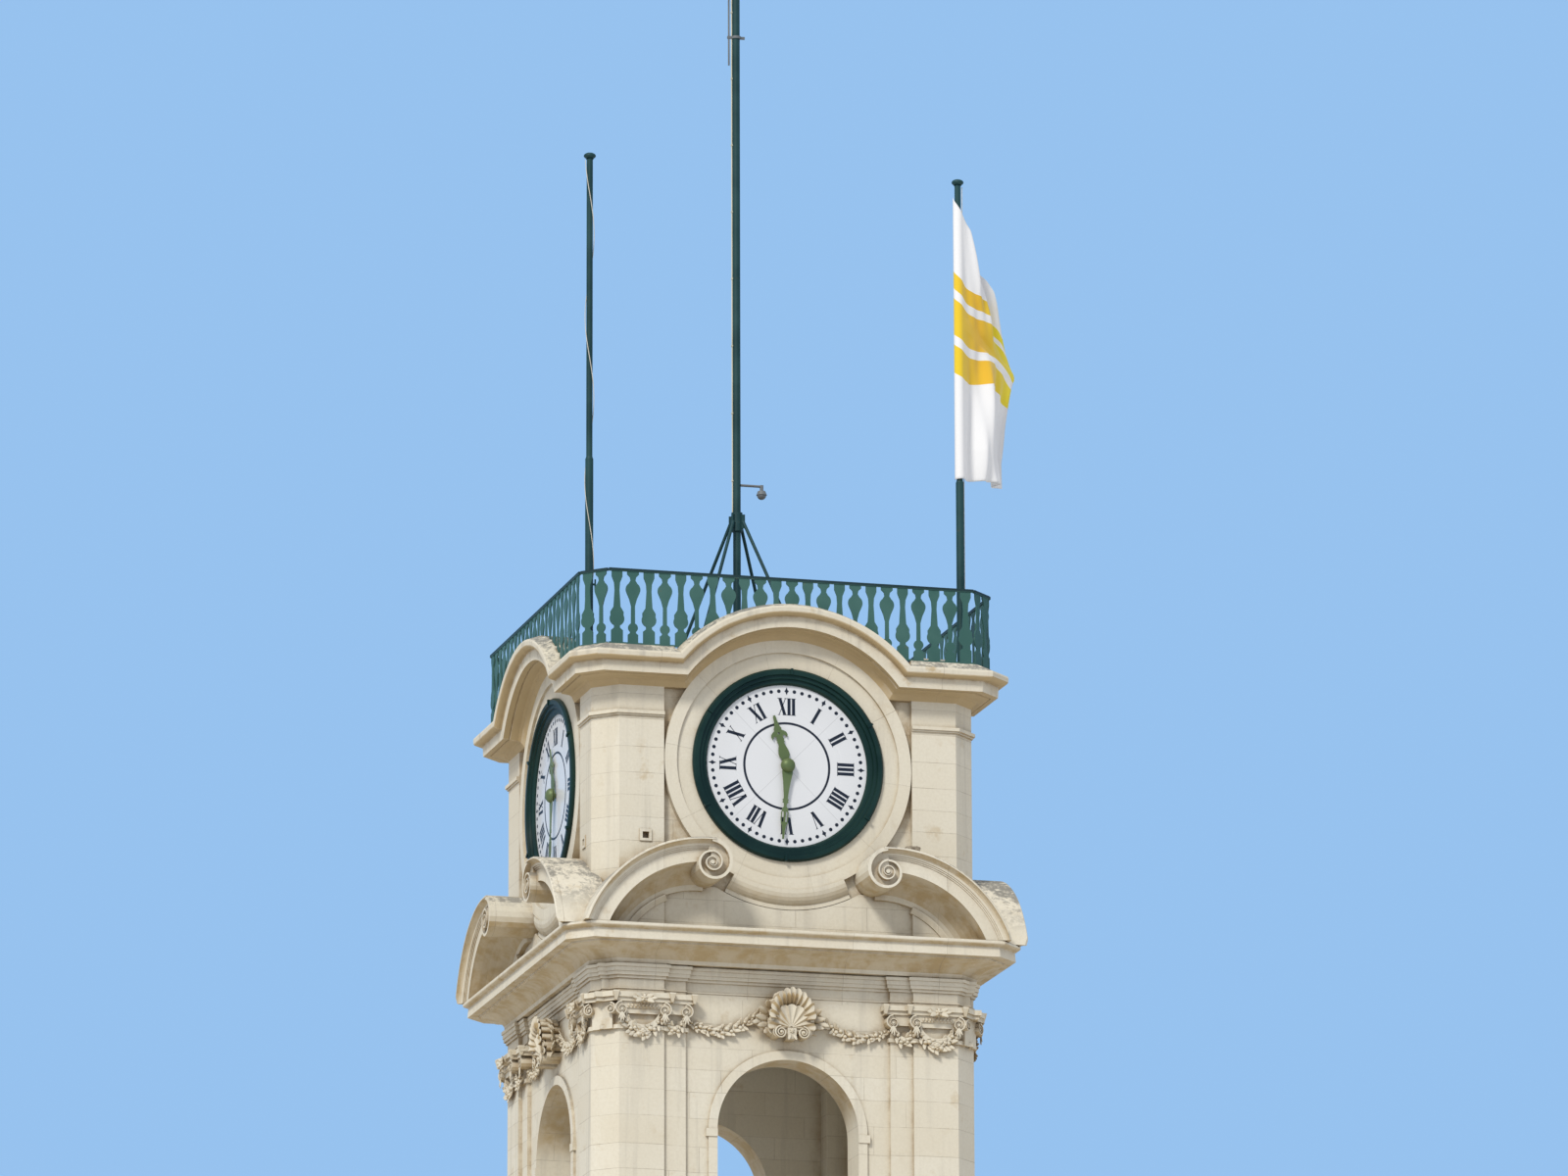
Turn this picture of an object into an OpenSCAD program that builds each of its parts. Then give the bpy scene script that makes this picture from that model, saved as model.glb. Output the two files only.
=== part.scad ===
// Clock tower of pale stone with four dials, an iron-railed terrace and three masts.
// Built at half size, in millimetres. +Z is up, the front faces -Y, and the origin is
// on the ground under the middle of the tower.

/* [Plan] */
// Half the width of the tower across the faces of its pilasters
half_w = 1500; // [1440:10:1600]
// Leg of the chamfer that cuts each corner
chamfer = 175; // [140:5:200]
// Thickness of the masonry walls
wall_t = 350; // [300:10:400]
// Width of each corner pilaster on a face
pilaster_w = 350; // [330:5:380]
// Step back from one wall plane to the next
recess = 30; // [20:5:40]
// How far the shaft stands out beyond the upper stages
shaft_step = 60; // [40:5:90]

/* [Heights] */
// Height of the plinth
plinth_h = 700; // [600:10:900]
// Height of the plain shaft above the plinth
shaft_h = 9000; // [8600:50:9600]
// Height of the cornice on top of the shaft
sill_h = 300; // [260:10:340]
// Height of the belfry from its floor to the top of its capitals
belfry_h = 3475; // [3400:5:3600]
// Height of the architrave and frieze over the capitals
frieze_h = 115; // [100:5:140]
// Height of the bed moulding over the frieze
bed_h = 120; // [100:5:140]
// Height of the main cornice
cornice_h = 255; // [240:5:280]
// Height of the dial's centre above the main cornice
clock_rise = 1335; // [1320:5:1360]
// Height of the crown cornice's underside above the dial's centre
crown_rise = 553; // [540:1:580]
// Height of the terrace paving above the dial's centre
deck_rise = 480; // [440:5:500]
// Thickness of the floors
floor_t = 150; // [100:5:180]

/* [Door and windows] */
// Half the width of the doorway
door_half = 300; // [260:5:340]
// Height of the doorway above the ground
door_h = 1400; // [1300:10:1500]
// Width of the flat stone frame round the doorway
door_frame_w = 110; // [80:5:140]
// Half the width of each shaft window
window_half = 200; // [160:5:240]
// Height of each shaft window
window_h = 750; // [600:10:850]
// Number of windows above one another on each face
window_rows = 3; // [2:1:3]
// Height of the lowest window's sill above the ground
window_sill = 2300; // [2200:50:2500]
// Height from one window's sill to the next
window_pitch = 2500; // [2300:50:2600]
// Half the width of the belfry arches
arch_half = 550; // [500:10:600]
// Drop from the capitals' top to the springing of the belfry arches
arch_drop = 995; // [960:5:1020]
// Height of the belfry balustrades
balustrade_h = 480; // [420:10:520]

/* [Dials] */
// Gap between the raised stone surround and the corner piers
surround_gap = 5; // [3:1:20]
// Width of the raised stone surround
surround_w = 220; // [200:5:230]
// Width of the iron ring round the dial
ring_w = 120; // [115:1:125]
// Thickness of the dial
dial_t = 12; // [8:1:16]
// How far the minute hand's tip stays from the iron ring
minute_gap = 55; // [40:5:80]
// How far the hour hand's tip stays from the iron ring
hour_gap = 230; // [210:5:250]
// Thickness of both hands
hand_t = 6; // [4:0.5:8]
// Gap between the dial and the hour hand, and between the two hands
hand_gap = 12; // [8:1:15]
// Radius of the minute hand's arbor
arbor_r = 12; // [10:0.5:14]
// Outer radius of the hour hand's pipe
pipe_r = 18; // [17:0.5:22]
// Running clearance of the arbor and of the pipe
running = 0.08; // [0.05:0.01:0.1]
// Angle of the minute hands past twelve
minute_angle = 184; // [0:1:360]
// Angle of the hour hands past twelve
hour_angle = 345; // [0:1:360]

/* [Pediments] */
// Radius of the outer edge of each broken arc
arc_r = 1000; // [980:5:1010]
// Distance of each arc's centre from the middle of the face
arc_x = 720; // [700:5:740]
// Width of the moulded band of each arc
arc_band = 180; // [160:5:200]
// How far the arcs stand out from the faces of the piers
arc_front = 346; // [330:2:350]
// Rise of the volute's centre above the main cornice
volute_rise = 478; // [470:2:490]
// Distance of the volute's centre from the middle of the face
volute_x = 686; // [670:2:700]
// Largest radius of the volute
volute_r = 190; // [180:5:195]
// Shrink of the volute at each quarter turn
volute_shrink = 0.83; // [0.8:0.01:0.86]

/* [Terrace] */
// Height of the crown cornice
crown_h = 285; // [270:5:300]
// Distance of the railing's outer face from the tower's axis
railing_r = 1624; // [1610:1:1630]
// Height of the railing
railing_h = 589; // [560:1:620]
// Thickness of the cast balusters
baluster_t = 10; // [8:1:16]
// Number of balusters on each long side
baluster_n = 23; // [19:2:25]
// Height of the central mast's top above the dial's centre
mast_top = 6700; // [6000:50:6800]
// Height of the collar of the mast's braces above the dial's centre
collar_rise = 2185; // [2150:5:2220]
// Height of the camera's arm above the dial's centre
camera_rise = 2560; // [2500:5:2600]
// Height of the antenna's bracket above the dial's centre
antenna_rise = 6190; // [5900:5:6200]
// Radius of the central mast
mast_r = 30; // [26:1:36]
// Distance of each flagpole from the tower's middle plane
pole_x = 1475; // [1440:5:1500]
// Distance of each flagpole in front of the tower's axis
pole_y = 1150; // [1100:10:1250]
// Height of the flagpoles' tops above the dial's centre
pole_top = 4825; // [4600:25:5000]
// Radius of the lower part of each flagpole
pole_r = 31; // [28:1:36]
// How much thinner the upper part of each flagpole is
pole_step = 7; // [5:1:9]
// Radius of the halyards
line_r = 3; // [2:0.5:4]
// Height of one turn of the halyard that winds round the left pole
halyard_pitch = 1300; // [1000:50:1600]
// Height of the flag along its pole
flag_h = 2280; // [2100:20:2400]
// Height of the flag's lower corner above the dial's centre
flag_low = 2385; // [2300:5:2450]
// Width of the flag where it hangs furthest from its pole
flag_w = 700; // [660:5:740]
// Angle at which the flag drifts back
flag_drift = 42; // [30:1:50]

/* [Hidden] */
$fn = 48;
reach = 4000;
joint = 0.3;
shaft_half = half_w + shaft_step;
pilaster_in = half_w - chamfer - pilaster_w;
half_in = pilaster_in - pilaster_w / 2;
inner_w = half_w - wall_t;
panel_w = half_w - 2 * recess;
shaft_z = plinth_h;
sill_z = shaft_z + shaft_h;
belfry_z = sill_z + sill_h;
frieze_z = belfry_z + belfry_h;
bed_z = frieze_z + frieze_h;
cornice_z = bed_z + bed_h;
stage_z = cornice_z + cornice_h;
clock_z = stage_z + clock_rise;
arch_spring = belfry_h - arch_drop;
surround_r = pilaster_in - surround_gap;
ring_r = surround_r - surround_w;
dial_r = ring_r - ring_w;
minute_len = dial_r - minute_gap;
hour_len = dial_r - hour_gap;
crown_z = clock_z + crown_rise;
terrace_z = crown_z + crown_h;
deck_z = clock_z + deck_rise;
cleat_z = terrace_z + 560;
collar_z = clock_z + collar_rise;
collar_h = 150;
conduit_r = 5;
clip_pitch = 545;
archivolt_w = 70;
archivolt_t = 20;
arc_leg = chamfer + 41;
corbel_h = 150;
dado_half = pilaster_in;
dado_t = 25;
vent_x = half_w - 380;

// Turns a piece of the front to side i: 0 front, 1 right, 2 back, 3 left
module side(i) {
  rotate([0, 0, 90 * i]) children();
}

module sides() {
  for (i = [0 : 3]) side(i) children();
}

// A piece and its mirror image across the middle of the face
module pair() {
  children();
  mirror([1, 0, 0]) children();
}

// Square of half width w whose corners lose a chamfer of the given leg
module octagon(w, leg) {
  c = w - leg;
  polygon([[-c, -w], [c, -w], [w, -c], [w, c], [c, w], [-c, w], [-w, c], [-w, -c]]);
}

// Block of that outline between two heights
module block(w, leg, z0, z1) {
  translate([0, 0, z0]) linear_extrude(z1 - z0) octagon(w, leg);
}

// Points along part of an ellipse
function bend(c, r, a0, a1, n = 5) =
  [for (i = [0 : n]) let(t = a0 + (a1 - a0) * i / n) [c.x + r.x * cos(t), c.y + r.y * sin(t)]];

// Ring round the tower with the profile [distance out, height], mitred at the chamfers
module course(points, w) {
  diagonal = (2 * w - chamfer) / sqrt(2);
  far = max([for (p = points) p.x]) + w + 10;
  front = [for (p = points) [-(w + p.x), p.y]];
  corner = [for (p = points) [-(diagonal + p.x * sqrt(2)), p.y]];
  sides() {
    intersection() {
      rotate([90, 0, 90]) linear_extrude(2 * far, center = true) polygon(front);
      translate([0, 0, -1]) linear_extrude(max([for (p = points) p.y]) + 2)
        polygon([[0, -chamfer], [far, -chamfer - far], [-far, -chamfer - far]]);
    }
    rotate([0, 0, -45]) rotate([90, 0, 90])
      linear_extrude(sqrt(2) * chamfer, center = true) polygon(corner);
  }
}

// Outline of the wall at the order, standing out d from each of its planes
module broken_plan(d) {
  square(2 * (panel_w + d), center = true);
  sides() pair() translate([half_in - d, 0])
    square([pilaster_in - half_in + d + 1, half_w - recess + d]);
  intersection() {
    octagon(half_w + d, chamfer);
    sides() translate([pilaster_in - d, pilaster_in - d]) square(reach);
  }
}

// Ring between two heights that breaks forward over the pilasters
module broken_course(d, z0, z1) {
  translate([0, 0, z0]) linear_extrude(z1 - z0) difference() {
    broken_plan(d);
    octagon(inner_w, chamfer);
  }
}

// Outline of the clock stage's walls: panels set back between corner piers
module wall_plan() {
  square(2 * panel_w, center = true);
  intersection() {
    octagon(half_w, chamfer);
    sides() translate([pilaster_in, pilaster_in]) square(reach);
  }
}

// Four corner piers of half width w with the inner corner at c
module piers(w, c, z0, z1) {
  intersection() {
    block(w, chamfer, z0, z1);
    sides() translate([c, c, z0]) cube([reach, reach, z1 - z0]);
  }
}

// Solid turned about the axis of a face, from points [radius, distance from the tower's axis]
module face_turn(points, a0 = 0, a1 = 360) {
  rotate([90, 0, 0]) rotate([0, 0, a0]) rotate_extrude(angle = a1 - a0, $fn = 96) polygon(points);
}

// Drum about a face's axis between two distances from the tower's axis
module face_drum(r, y0, y1) {
  translate([0, -y0, 0]) rotate([90, 0, 0]) cylinder(r = r, h = y1 - y0, $fn = 96);
}

/* The lower stages */

module plinth() {
  color("#cfc3a6") difference() {
    union() {
      block(shaft_half + 60, chamfer, 0, plinth_h - 120);
      block(shaft_half + 35, chamfer, plinth_h - 120, plinth_h - 60);
      block(shaft_half + 15, chamfer, plinth_h - 60, plinth_h);
    }
    translate([0, 0, -1]) linear_extrude(plinth_h + 2) octagon(inner_w, chamfer);
    translate([-door_half - door_frame_w, -reach, -1])
      cube([2 * (door_half + door_frame_w), reach, plinth_h + 2]);
  }
}

module shaft_piers() {
  color("#d8cdb4") piers(shaft_half, pilaster_in, shaft_z, sill_z);
}

module window_hole(grow, y0, y1, row) {
  z = window_sill + row * window_pitch;
  translate([-window_half - grow, -y1, z - grow])
    cube([2 * (window_half + grow), y1 - y0, window_h + 2 * grow]);
}

module shaft_wall() {
  color("#d8cdb4") difference() {
    translate([-pilaster_in, -(shaft_half - recess), shaft_z])
      cube([2 * pilaster_in, shaft_half - recess - inner_w, shaft_h]);
    for (row = [0 : window_rows - 1]) window_hole(0, 0, reach, row);
  }
}

module shaft_walls() {
  difference() {
    sides() shaft_wall();
    translate([-door_half - door_frame_w, -reach, 0])
      cube([2 * (door_half + door_frame_w), reach, door_h + door_frame_w]);
  }
}

// Flat bands that tie the walls of the shaft above its lower windows
module string_courses() {
  color("#ddd2b8") for (row = [0 : window_rows - 2]) {
    z = window_sill + (row + 1) * window_pitch - 420;
    difference() {
      union() {
        block(shaft_half + 30, chamfer, z, z + 90);
        block(shaft_half + 45, chamfer, z + 90, z + 140);
      }
      block(shaft_half, chamfer, z - 1, z + 141);
    }
  }
}

module door_frame() {
  front_y = shaft_half + 75;
  color("#ddd2b8") difference() {
    union() {
      translate([-door_half - door_frame_w, -front_y, 0])
        cube([2 * (door_half + door_frame_w), front_y - inner_w, door_h + door_frame_w]);
      translate([-door_half - door_frame_w - 30, -front_y - 30, door_h + door_frame_w])
        cube([2 * (door_half + door_frame_w + 30), front_y + 30 - (shaft_half - recess), 60]);
    }
    translate([-door_half, -reach, floor_t]) cube([2 * door_half, reach, door_h - floor_t]);
  }
}

module door_leaf() {
  leaf_y = inner_w + wall_t / 2;
  color("#4b3a2a") {
    translate([-door_half, -leaf_y - 30, floor_t]) cube([2 * door_half, 30, door_h - floor_t]);
    for (x = [-door_half + 40, 20]) for (row = [0 : 2])
      translate([x, -leaf_y - 42, floor_t + 60 + row * (door_h - floor_t - 60) / 3])
        cube([door_half - 60, 12, (door_h - floor_t) / 3 - 70]);
  }
}

module window_frames() {
  color("#5d6b60") sides() for (row = [0 : window_rows - 1]) difference() {
    window_hole(0, inner_w + 60, inner_w + 110, row);
    window_hole(-40, 0, reach, row);
  }
}

module window_panes() {
  color("#9fb6c2") sides() for (row = [0 : window_rows - 1])
    window_hole(-40, inner_w + 80, inner_w + 86, row);
}

// Ground floor, belfry floor and the clock room's floor
module floors() {
  color("#b9ad95") for (z = [floor_t, belfry_z, cornice_z])
    block(inner_w - joint, chamfer, z - floor_t, z);
}

module shaft_cornice() {
  points = concat([[-wall_t - shaft_step, 0], [0, 0], [0, 60]],
    bend([0, 130], [55, 70], -90, 0), [[75, 130], [80, 190]],
    bend([130, 190], [50, 50], 180, 90),
    [[150, 240], [150, 262], [-shaft_step + 30, sill_h], [-wall_t - shaft_step, sill_h]]);
  color("#ddd2b8") translate([0, 0, sill_z]) course(points, shaft_half);
}

/* The belfry */

module belfry_piers() {
  base_h = balustrade_h + 20;
  color("#ddd2b8") {
    piers(half_w + 25, pilaster_in - 25, belfry_z, belfry_z + base_h);
    piers(half_w + 14, pilaster_in - 14, belfry_z + base_h, belfry_z + base_h + 45);
    piers(half_w + 7, pilaster_in - 7, belfry_z + base_h + 45, belfry_z + base_h + 75);
    piers(half_w, pilaster_in, belfry_z + base_h + 75, frieze_z);
  }
}

module arch_shape(grow) {
  square_h = arch_spring + reach / 4;
  translate([-arch_half - grow, -reach / 4]) square([2 * (arch_half + grow), square_h]);
  translate([0, arch_spring]) circle(arch_half + grow, $fn = 96);
}

module belfry_wall() {
  base_h = balustrade_h + 95;
  color("#d8cdb4") translate([0, 0, belfry_z]) difference() {
    union() {
      difference() {
        translate([-pilaster_in, -panel_w, 0]) cube([2 * pilaster_in, panel_w - inner_w, belfry_h]);
        translate([pilaster_in - 25, -reach, -1]) cube([reach, reach, base_h + 1]);
        translate([-pilaster_in + 25 - reach, -reach, -1]) cube([reach, reach, base_h + 1]);
      }
      pair() translate([half_in, -panel_w - recess, base_h])
        cube([pilaster_in - half_in, recess + 1, belfry_h - base_h]);
      rotate([90, 0, 0]) translate([0, 0, panel_w - 1]) linear_extrude(archivolt_t + 1) intersection() {
        arch_shape(archivolt_w);
        translate([-reach, 0]) square([2 * reach, arch_spring + arch_half + archivolt_w]);
      }
      translate([-arch_half - 90, -panel_w - 28, arch_spring - 60]) cube([2 * (arch_half + 90), 40, 60]);
    }
    rotate([90, 0, 0]) linear_extrude(reach) arch_shape(0);
  }
}

module belfry_wall_front() {
  side(0) belfry_wall();
}

module belfry_wall_right() {
  side(1) belfry_wall();
}

module belfry_wall_back() {
  side(2) belfry_wall();
}

module belfry_wall_left() {
  side(3) belfry_wall();
}

module stone_baluster(h) {
  rotate_extrude() polygon(concat([[0, 0], [34, 0], [34, 30], [22, 38]],
    bend([12, 120], [30, 70], -60, 60, 6),
    [[15, 250], [14, h - 60], [24, h - 48], [24, h - 30], [34, h - 24], [34, h], [0, h]]));
}

module belfry_balustrades() {
  y = panel_w - 130;
  shaft = balustrade_h - 140;
  color("#ddd2b8") sides() translate([0, -y, belfry_z]) {
    translate([-arch_half, -60, 0]) cube([2 * arch_half, 120, 70]);
    translate([-arch_half, -65, balustrade_h - 70]) cube([2 * arch_half, 130, 70]);
    for (i = [-3 : 3]) translate([i * 150, 0, 70]) stone_baluster(shaft);
  }
}

// Point of a spiral that has turned by angle a from the top, at a share of its radius
function spiral(r, a, share = 1) = r * share * pow(volute_shrink, a / 90) * [sin(a), cos(a)];

// Scroll: a drum with the spiral's first turn as its outline, and a raised band that winds
// in to the eye
module volute(r, depth, relief, step = 15, turns = 2.25) {
  band = 0.84;
  last = 360 * turns;
  linear_extrude(depth - relief) polygon([for (a = [0 : step : 359]) spiral(r, a)]);
  translate([0, 0, depth - relief - 1]) linear_extrude(relief + 1)
    polygon(concat([for (a = [0 : step : last]) spiral(r, a)],
      [for (a = [last : -step : 0]) spiral(r, a, band)]));
  cylinder(r = 0.17 * r, h = depth - relief / 3, $fn = 32);
}

// The same volute standing on a face, with its eye at [x, z] and its front at distance y
module face_volute(x, z, y, r, depth, relief, step = 15) {
  translate([x, -(y - depth), z]) rotate([90, 0, 0]) volute(r, depth, relief, step);
}

// Hanging garland in the plane of the pilaster
module swag(x, z, r) {
  translate([x, -half_w, z]) rotate([90, 0, 0]) linear_extrude(34) difference() {
    circle(r);
    translate([0, 0.45 * r]) circle(r);
  }
}

// Composite capital on one face of a pier and on the half pilaster beside it: scrolls at the
// corners, a flower on the abacus and a garland below
module capital_front() {
  mid = (half_w - chamfer + pilaster_in) / 2;
  half = pilaster_w / 2;
  eye_z = frieze_z - 130;
  depth = 62 + 2 * recess;
  for (s = [-1, 1]) translate([mid + s * half, 0, 0]) mirror([s > 0 ? 0 : 1, 0, 0])
    face_volute(-8, eye_z, half_w + 62, 64, depth, 12, 30);
  translate([half_in, 0, 0]) mirror([1, 0, 0])
    face_volute(-8, eye_z, half_w - recess + 62, 64, depth, 12, 30);
  translate([mid - half, -half_w - 40, eye_z + 10]) cube([2 * half, 41, 50]);
  translate([mid - half - 30, -half_w - 30, eye_z - 30]) cube([2 * half + 60, 31, 40]);
  translate([half_in, -half_w - 10, eye_z - 20]) cube([half, 41, 80]);
  translate([mid, -half_w, frieze_z - 46]) rotate([90, 0, 0]) cylinder(r = 34, h = 84);
  swag(mid, eye_z - 40, half - 45);
}

// Slab over the piers and half pilasters, standing out d from each plane
module abacus(d, z0, z1) {
  c = half_in - d;
  translate([0, 0, z0]) linear_extrude(z1 - z0) difference() {
    broken_plan(d);
    square([2 * c, 2 * reach], center = true);
    square([2 * reach, 2 * c], center = true);
  }
}

module capitals() {
  neck_z = frieze_z - 275;
  color("#e6ddc6") difference() {
    union() {
      abacus(70, frieze_z - 40, frieze_z);
      abacus(55, frieze_z - 70, frieze_z - 40);
      abacus(18, neck_z, neck_z + 30);
      sides() {
        pair() capital_front();
        rotate([0, 0, 45]) translate([0, -(sqrt(2) * half_w - chamfer / sqrt(2)), 0]) {
          for (s = [-1, 1]) mirror([s > 0 ? 0 : 1, 0, 0]) translate([0, half_w, 0])
            face_volute(chamfer / sqrt(2) - 30, frieze_z - 130, half_w + 80, 52, 80, 12, 30);
          translate([-chamfer / 2, -40, neck_z]) cube([chamfer, 41, 236]);
        }
      }
    }
    linear_extrude(terrace_z) broken_plan(0);
  }
}

// Outline of a shell that opens upwards: ribs from its foot to rounded tips on an ellipse
module scallop(ribs, size, tip_r, spread) {
  circle(2 * tip_r, $fn = 32);
  for (i = [0 : ribs - 1]) let(a = -spread + 2 * spread * i / (ribs - 1), out = [cos(a), -sin(a)],
    far = [size.x * sin(a), size.y * cos(a)]) {
    polygon([-0.4 * tip_r * out, 0.4 * tip_r * out, far + 0.82 * tip_r * out, far - 0.82 * tip_r * out]);
    translate(far) circle(tip_r, $fn = 24);
  }
}

// Shell over a belfry arch: a fan of ribs under a scalloped hood, on two scrolls
module shell_ornament() {
  hood_z = frieze_z - 166;
  fan_z = frieze_z - 215;
  translate([0, -panel_w + 20, hood_z]) rotate([90, 0, 0]) {
    linear_extrude(80) scallop(11, [146, 212], 25, 88);
    linear_extrude(170) difference() {
      scallop(11, [146, 212], 25, 88);
      translate([0, -20]) scale([1, 1.4]) circle(142);
      translate([-reach, -reach]) square([2 * reach, reach - 6]);
    }
  }
  translate([0, -panel_w + 20, fan_z]) rotate([90, 0, 0]) linear_extrude(135) scallop(9, [148, 150], 29, 100);
  pair() face_volute(106, fan_z - 46, panel_w + 142, 52, 100 + 2 * recess, 12, 30);
  translate([-34, -panel_w - 142, fan_z - 90]) cube([68, 150, 84]);
}

module shell_ornaments() {
  wall = panel_w + joint + 8;
  color("#e6ddc6") sides() difference() {
    shell_ornament();
    translate([0, 0, belfry_z]) linear_extrude(belfry_h) square(2 * panel_w, center = true);
    translate([0, 0, frieze_z]) linear_extrude(reach) square(2 * wall, center = true);
    translate([0, 0, belfry_z]) rotate([90, 0, 0]) linear_extrude(panel_w + archivolt_t + joint)
      arch_shape(archivolt_w + joint);
    translate([0, 0, belfry_z]) rotate([90, 0, 0]) linear_extrude(reach) arch_shape(0);
  }
}

module entablature() {
  color("#ddd2b8") {
    broken_course(0, frieze_z, frieze_z + 34);
    broken_course(8, frieze_z + 34, frieze_z + 44);
    broken_course(0, frieze_z + 44, bed_z);
    broken_course(14, bed_z, bed_z + 22);
    broken_course(28, bed_z + 22, bed_z + 50);
    broken_course(34, bed_z + 50, bed_z + 84);
    broken_course(42, bed_z + 84, bed_z + bed_h - 12);
    broken_course(16, bed_z + bed_h - 12, cornice_z);
  }
}

module main_cornice() {
  points = concat([[-wall_t, 0], [20, 0]], bend([180, 0], [160, 112], 180, 90, 6),
    [[186, 122], [192, 122], [192, 133], [262, 133], [256, 207], [264, 214]],
    bend([264, 232], [28, 18], -90, 0, 4),
    [[292, 245], [288, 252], [150, cornice_h], [-wall_t, cornice_h]]);
  color("#ddd2b8") translate([0, 0, cornice_z]) course(points, half_w);
}

/* The clock stage */

// Vent beside the corner at the left of the front: its frame, or its hole
module vent(size, y0, y1) {
  for (x = [-vent_x, vent_x]) rotate([0, 0, x < 0 ? 0 : -90])
    translate([x - size / 2, -y1, clock_z - 603 - size / 2]) cube([size, y1 - y0, size]);
}

module clock_piers() {
  band_z = clock_z + 318;
  color("#ddd2b8") difference() {
    union() {
      piers(half_w, pilaster_in, stage_z, crown_z);
      piers(half_w + 24, pilaster_in, band_z + 14, band_z + 40);
      piers(half_w + 12, pilaster_in, band_z, band_z + 14);
      for (turn = [0, 180]) rotate([0, 0, turn]) vent(94, half_w - 1, half_w + 10);
    }
    for (turn = [0, 180]) rotate([0, 0, turn]) vent(50, half_w - 60, reach);
  }
}

module clock_walls() {
  hole_r = dial_r - 30;
  color("#e0d6be") sides() difference() {
    union() {
      translate([-pilaster_in, -panel_w, stage_z])
        cube([2 * pilaster_in, panel_w - inner_w, crown_z - stage_z]);
      dado(0);
    }
    translate([0, 0, clock_z]) face_drum(hole_r, 0, reach);
  }
}

// Section of a broken arc: a crown moulding, fascias, a wide band and a deep cove beneath
module arc_profile() {
  front = half_w + arc_front;
  foot_r = arc_r - arc_band - 165;
  polygon(concat([[arc_r, panel_w - 20], [arc_r, front - 8], [arc_r - 8, front], [arc_r - 16, front]],
    bend([arc_r - 60, front - 6], [44, 42], 0, -90, 4),
    [[arc_r - 60, front - 55], [arc_r - 72, front - 55], [arc_r - 72, front - 63],
     [arc_r - 84, front - 63], [arc_r - 84, front - 70], [arc_r - arc_band, front - 62],
     [arc_r - arc_band, front - 76], [arc_r - arc_band - 10, front - 130]],
    bend([foot_r, front - 130], [155, 210], 0, -90, 6), [[foot_r, panel_w - 20]]));
}

module broken_arc() {
  centre_z = stage_z + volute_rise + volute_r - arc_r;
  moulding_r = arc_r - arc_band - 160;
  translate([-arc_x, 0, centre_z]) rotate([90, 0, 0]) {
    rotate([0, 0, 86.25]) rotate_extrude(angle = 82.5, $fn = 96) arc_profile();
    rotate([0, 0, 112.5]) rotate_extrude(angle = 45, $fn = 96)
      polygon([[moulding_r - 48, panel_w], [moulding_r - 48, half_w + 10],
        [moulding_r - 12, half_w + 20], [moulding_r, half_w + 20], [moulding_r, panel_w]]);
  }
}

// Scroll that ends an arc: one turn of its band round a boss that winds on to the eye
module scroll(r, depth, relief) {
  boss_r = r * pow(volute_shrink, 4);
  volute(r, depth, relief, 15, 1);
  volute(1.04 * boss_r, depth + 4, 0.4 * relief, 15, 1.75);
}

// Block of wall under a dial that stands out a little between the arcs
module dado(grow) {
  difference() {
    translate([-dado_half - grow, -panel_w - dado_t - grow, stage_z])
      cube([2 * (dado_half + grow), dado_t + grow + 1, clock_z - surround_r - stage_z + grow]);
    translate([0, 0, clock_z]) face_drum(surround_r + corbel_h + joint - grow, 0, reach);
  }
}

module pediments() {
  volute_z = stage_z + volute_rise;
  front = half_w + arc_front;
  color("#e6ddc6") difference() {
    sides() intersection() {
      union() {
        pair() broken_arc();
        pair() translate([volute_x, -panel_w + 20, volute_z]) rotate([90, 0, 0])
          mirror([1, 0, 0]) scroll(volute_r, front - 4 - panel_w + 20, 44);
      }
      block(front, arc_leg, stage_z, clock_z);
      translate([0, 0, stage_z]) linear_extrude(reach) polygon([[0, 0], [-reach, -reach], [reach, -reach]]);
    }
    translate([0, 0, stage_z - 1]) linear_extrude(crown_z - stage_z) wall_plan();
    sides() dado(joint);
    sides() translate([0, 0, clock_z]) face_drum(surround_r, 0, half_w);
    sides() translate([0, 0, clock_z]) corbel(joint);
  }
}

// Bulging corbel under a dial's surround, with a thin band beneath it
module corbel(grow) {
  r = surround_r - 5;
  face_turn(concat([[r, panel_w - grow], [r, half_w + 14 + grow]],
    bend([r, panel_w], [corbel_h - 30 + grow, 2 * recess + 14 + grow], 90, 15, 5),
    [[r + corbel_h - 26 + grow, panel_w + 24 + grow], [r + corbel_h + grow, panel_w + 24 + grow],
     [r + corbel_h + grow, panel_w - grow]]), 243.75, 296.25);
}

// Raised stone ring round a dial, on its corbel
module dial_surround() {
  inner_r = ring_r + joint;
  step_r = surround_r - 95;
  face_turn([[inner_r, panel_w], [inner_r, half_w - 22], [step_r, half_w - 22], [step_r, half_w],
    [surround_r, half_w], [surround_r, panel_w]]);
  corbel(0);
}

module dial_surrounds() {
  color("#e6ddc6") sides() translate([0, 0, clock_z]) dial_surround();
}

crown_points = concat([[0, 0], [20, 30]], bend([78, 30], [58, 26], 180, 90, 3),
  [[110, 60], [116, 72], [122, 72], [122, 66], [167, 66], [170, 148], [178, 150]],
  bend([178, 178], [52, 26], -90, 0, 5), [[233, 206], [228, 222]]);

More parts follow.
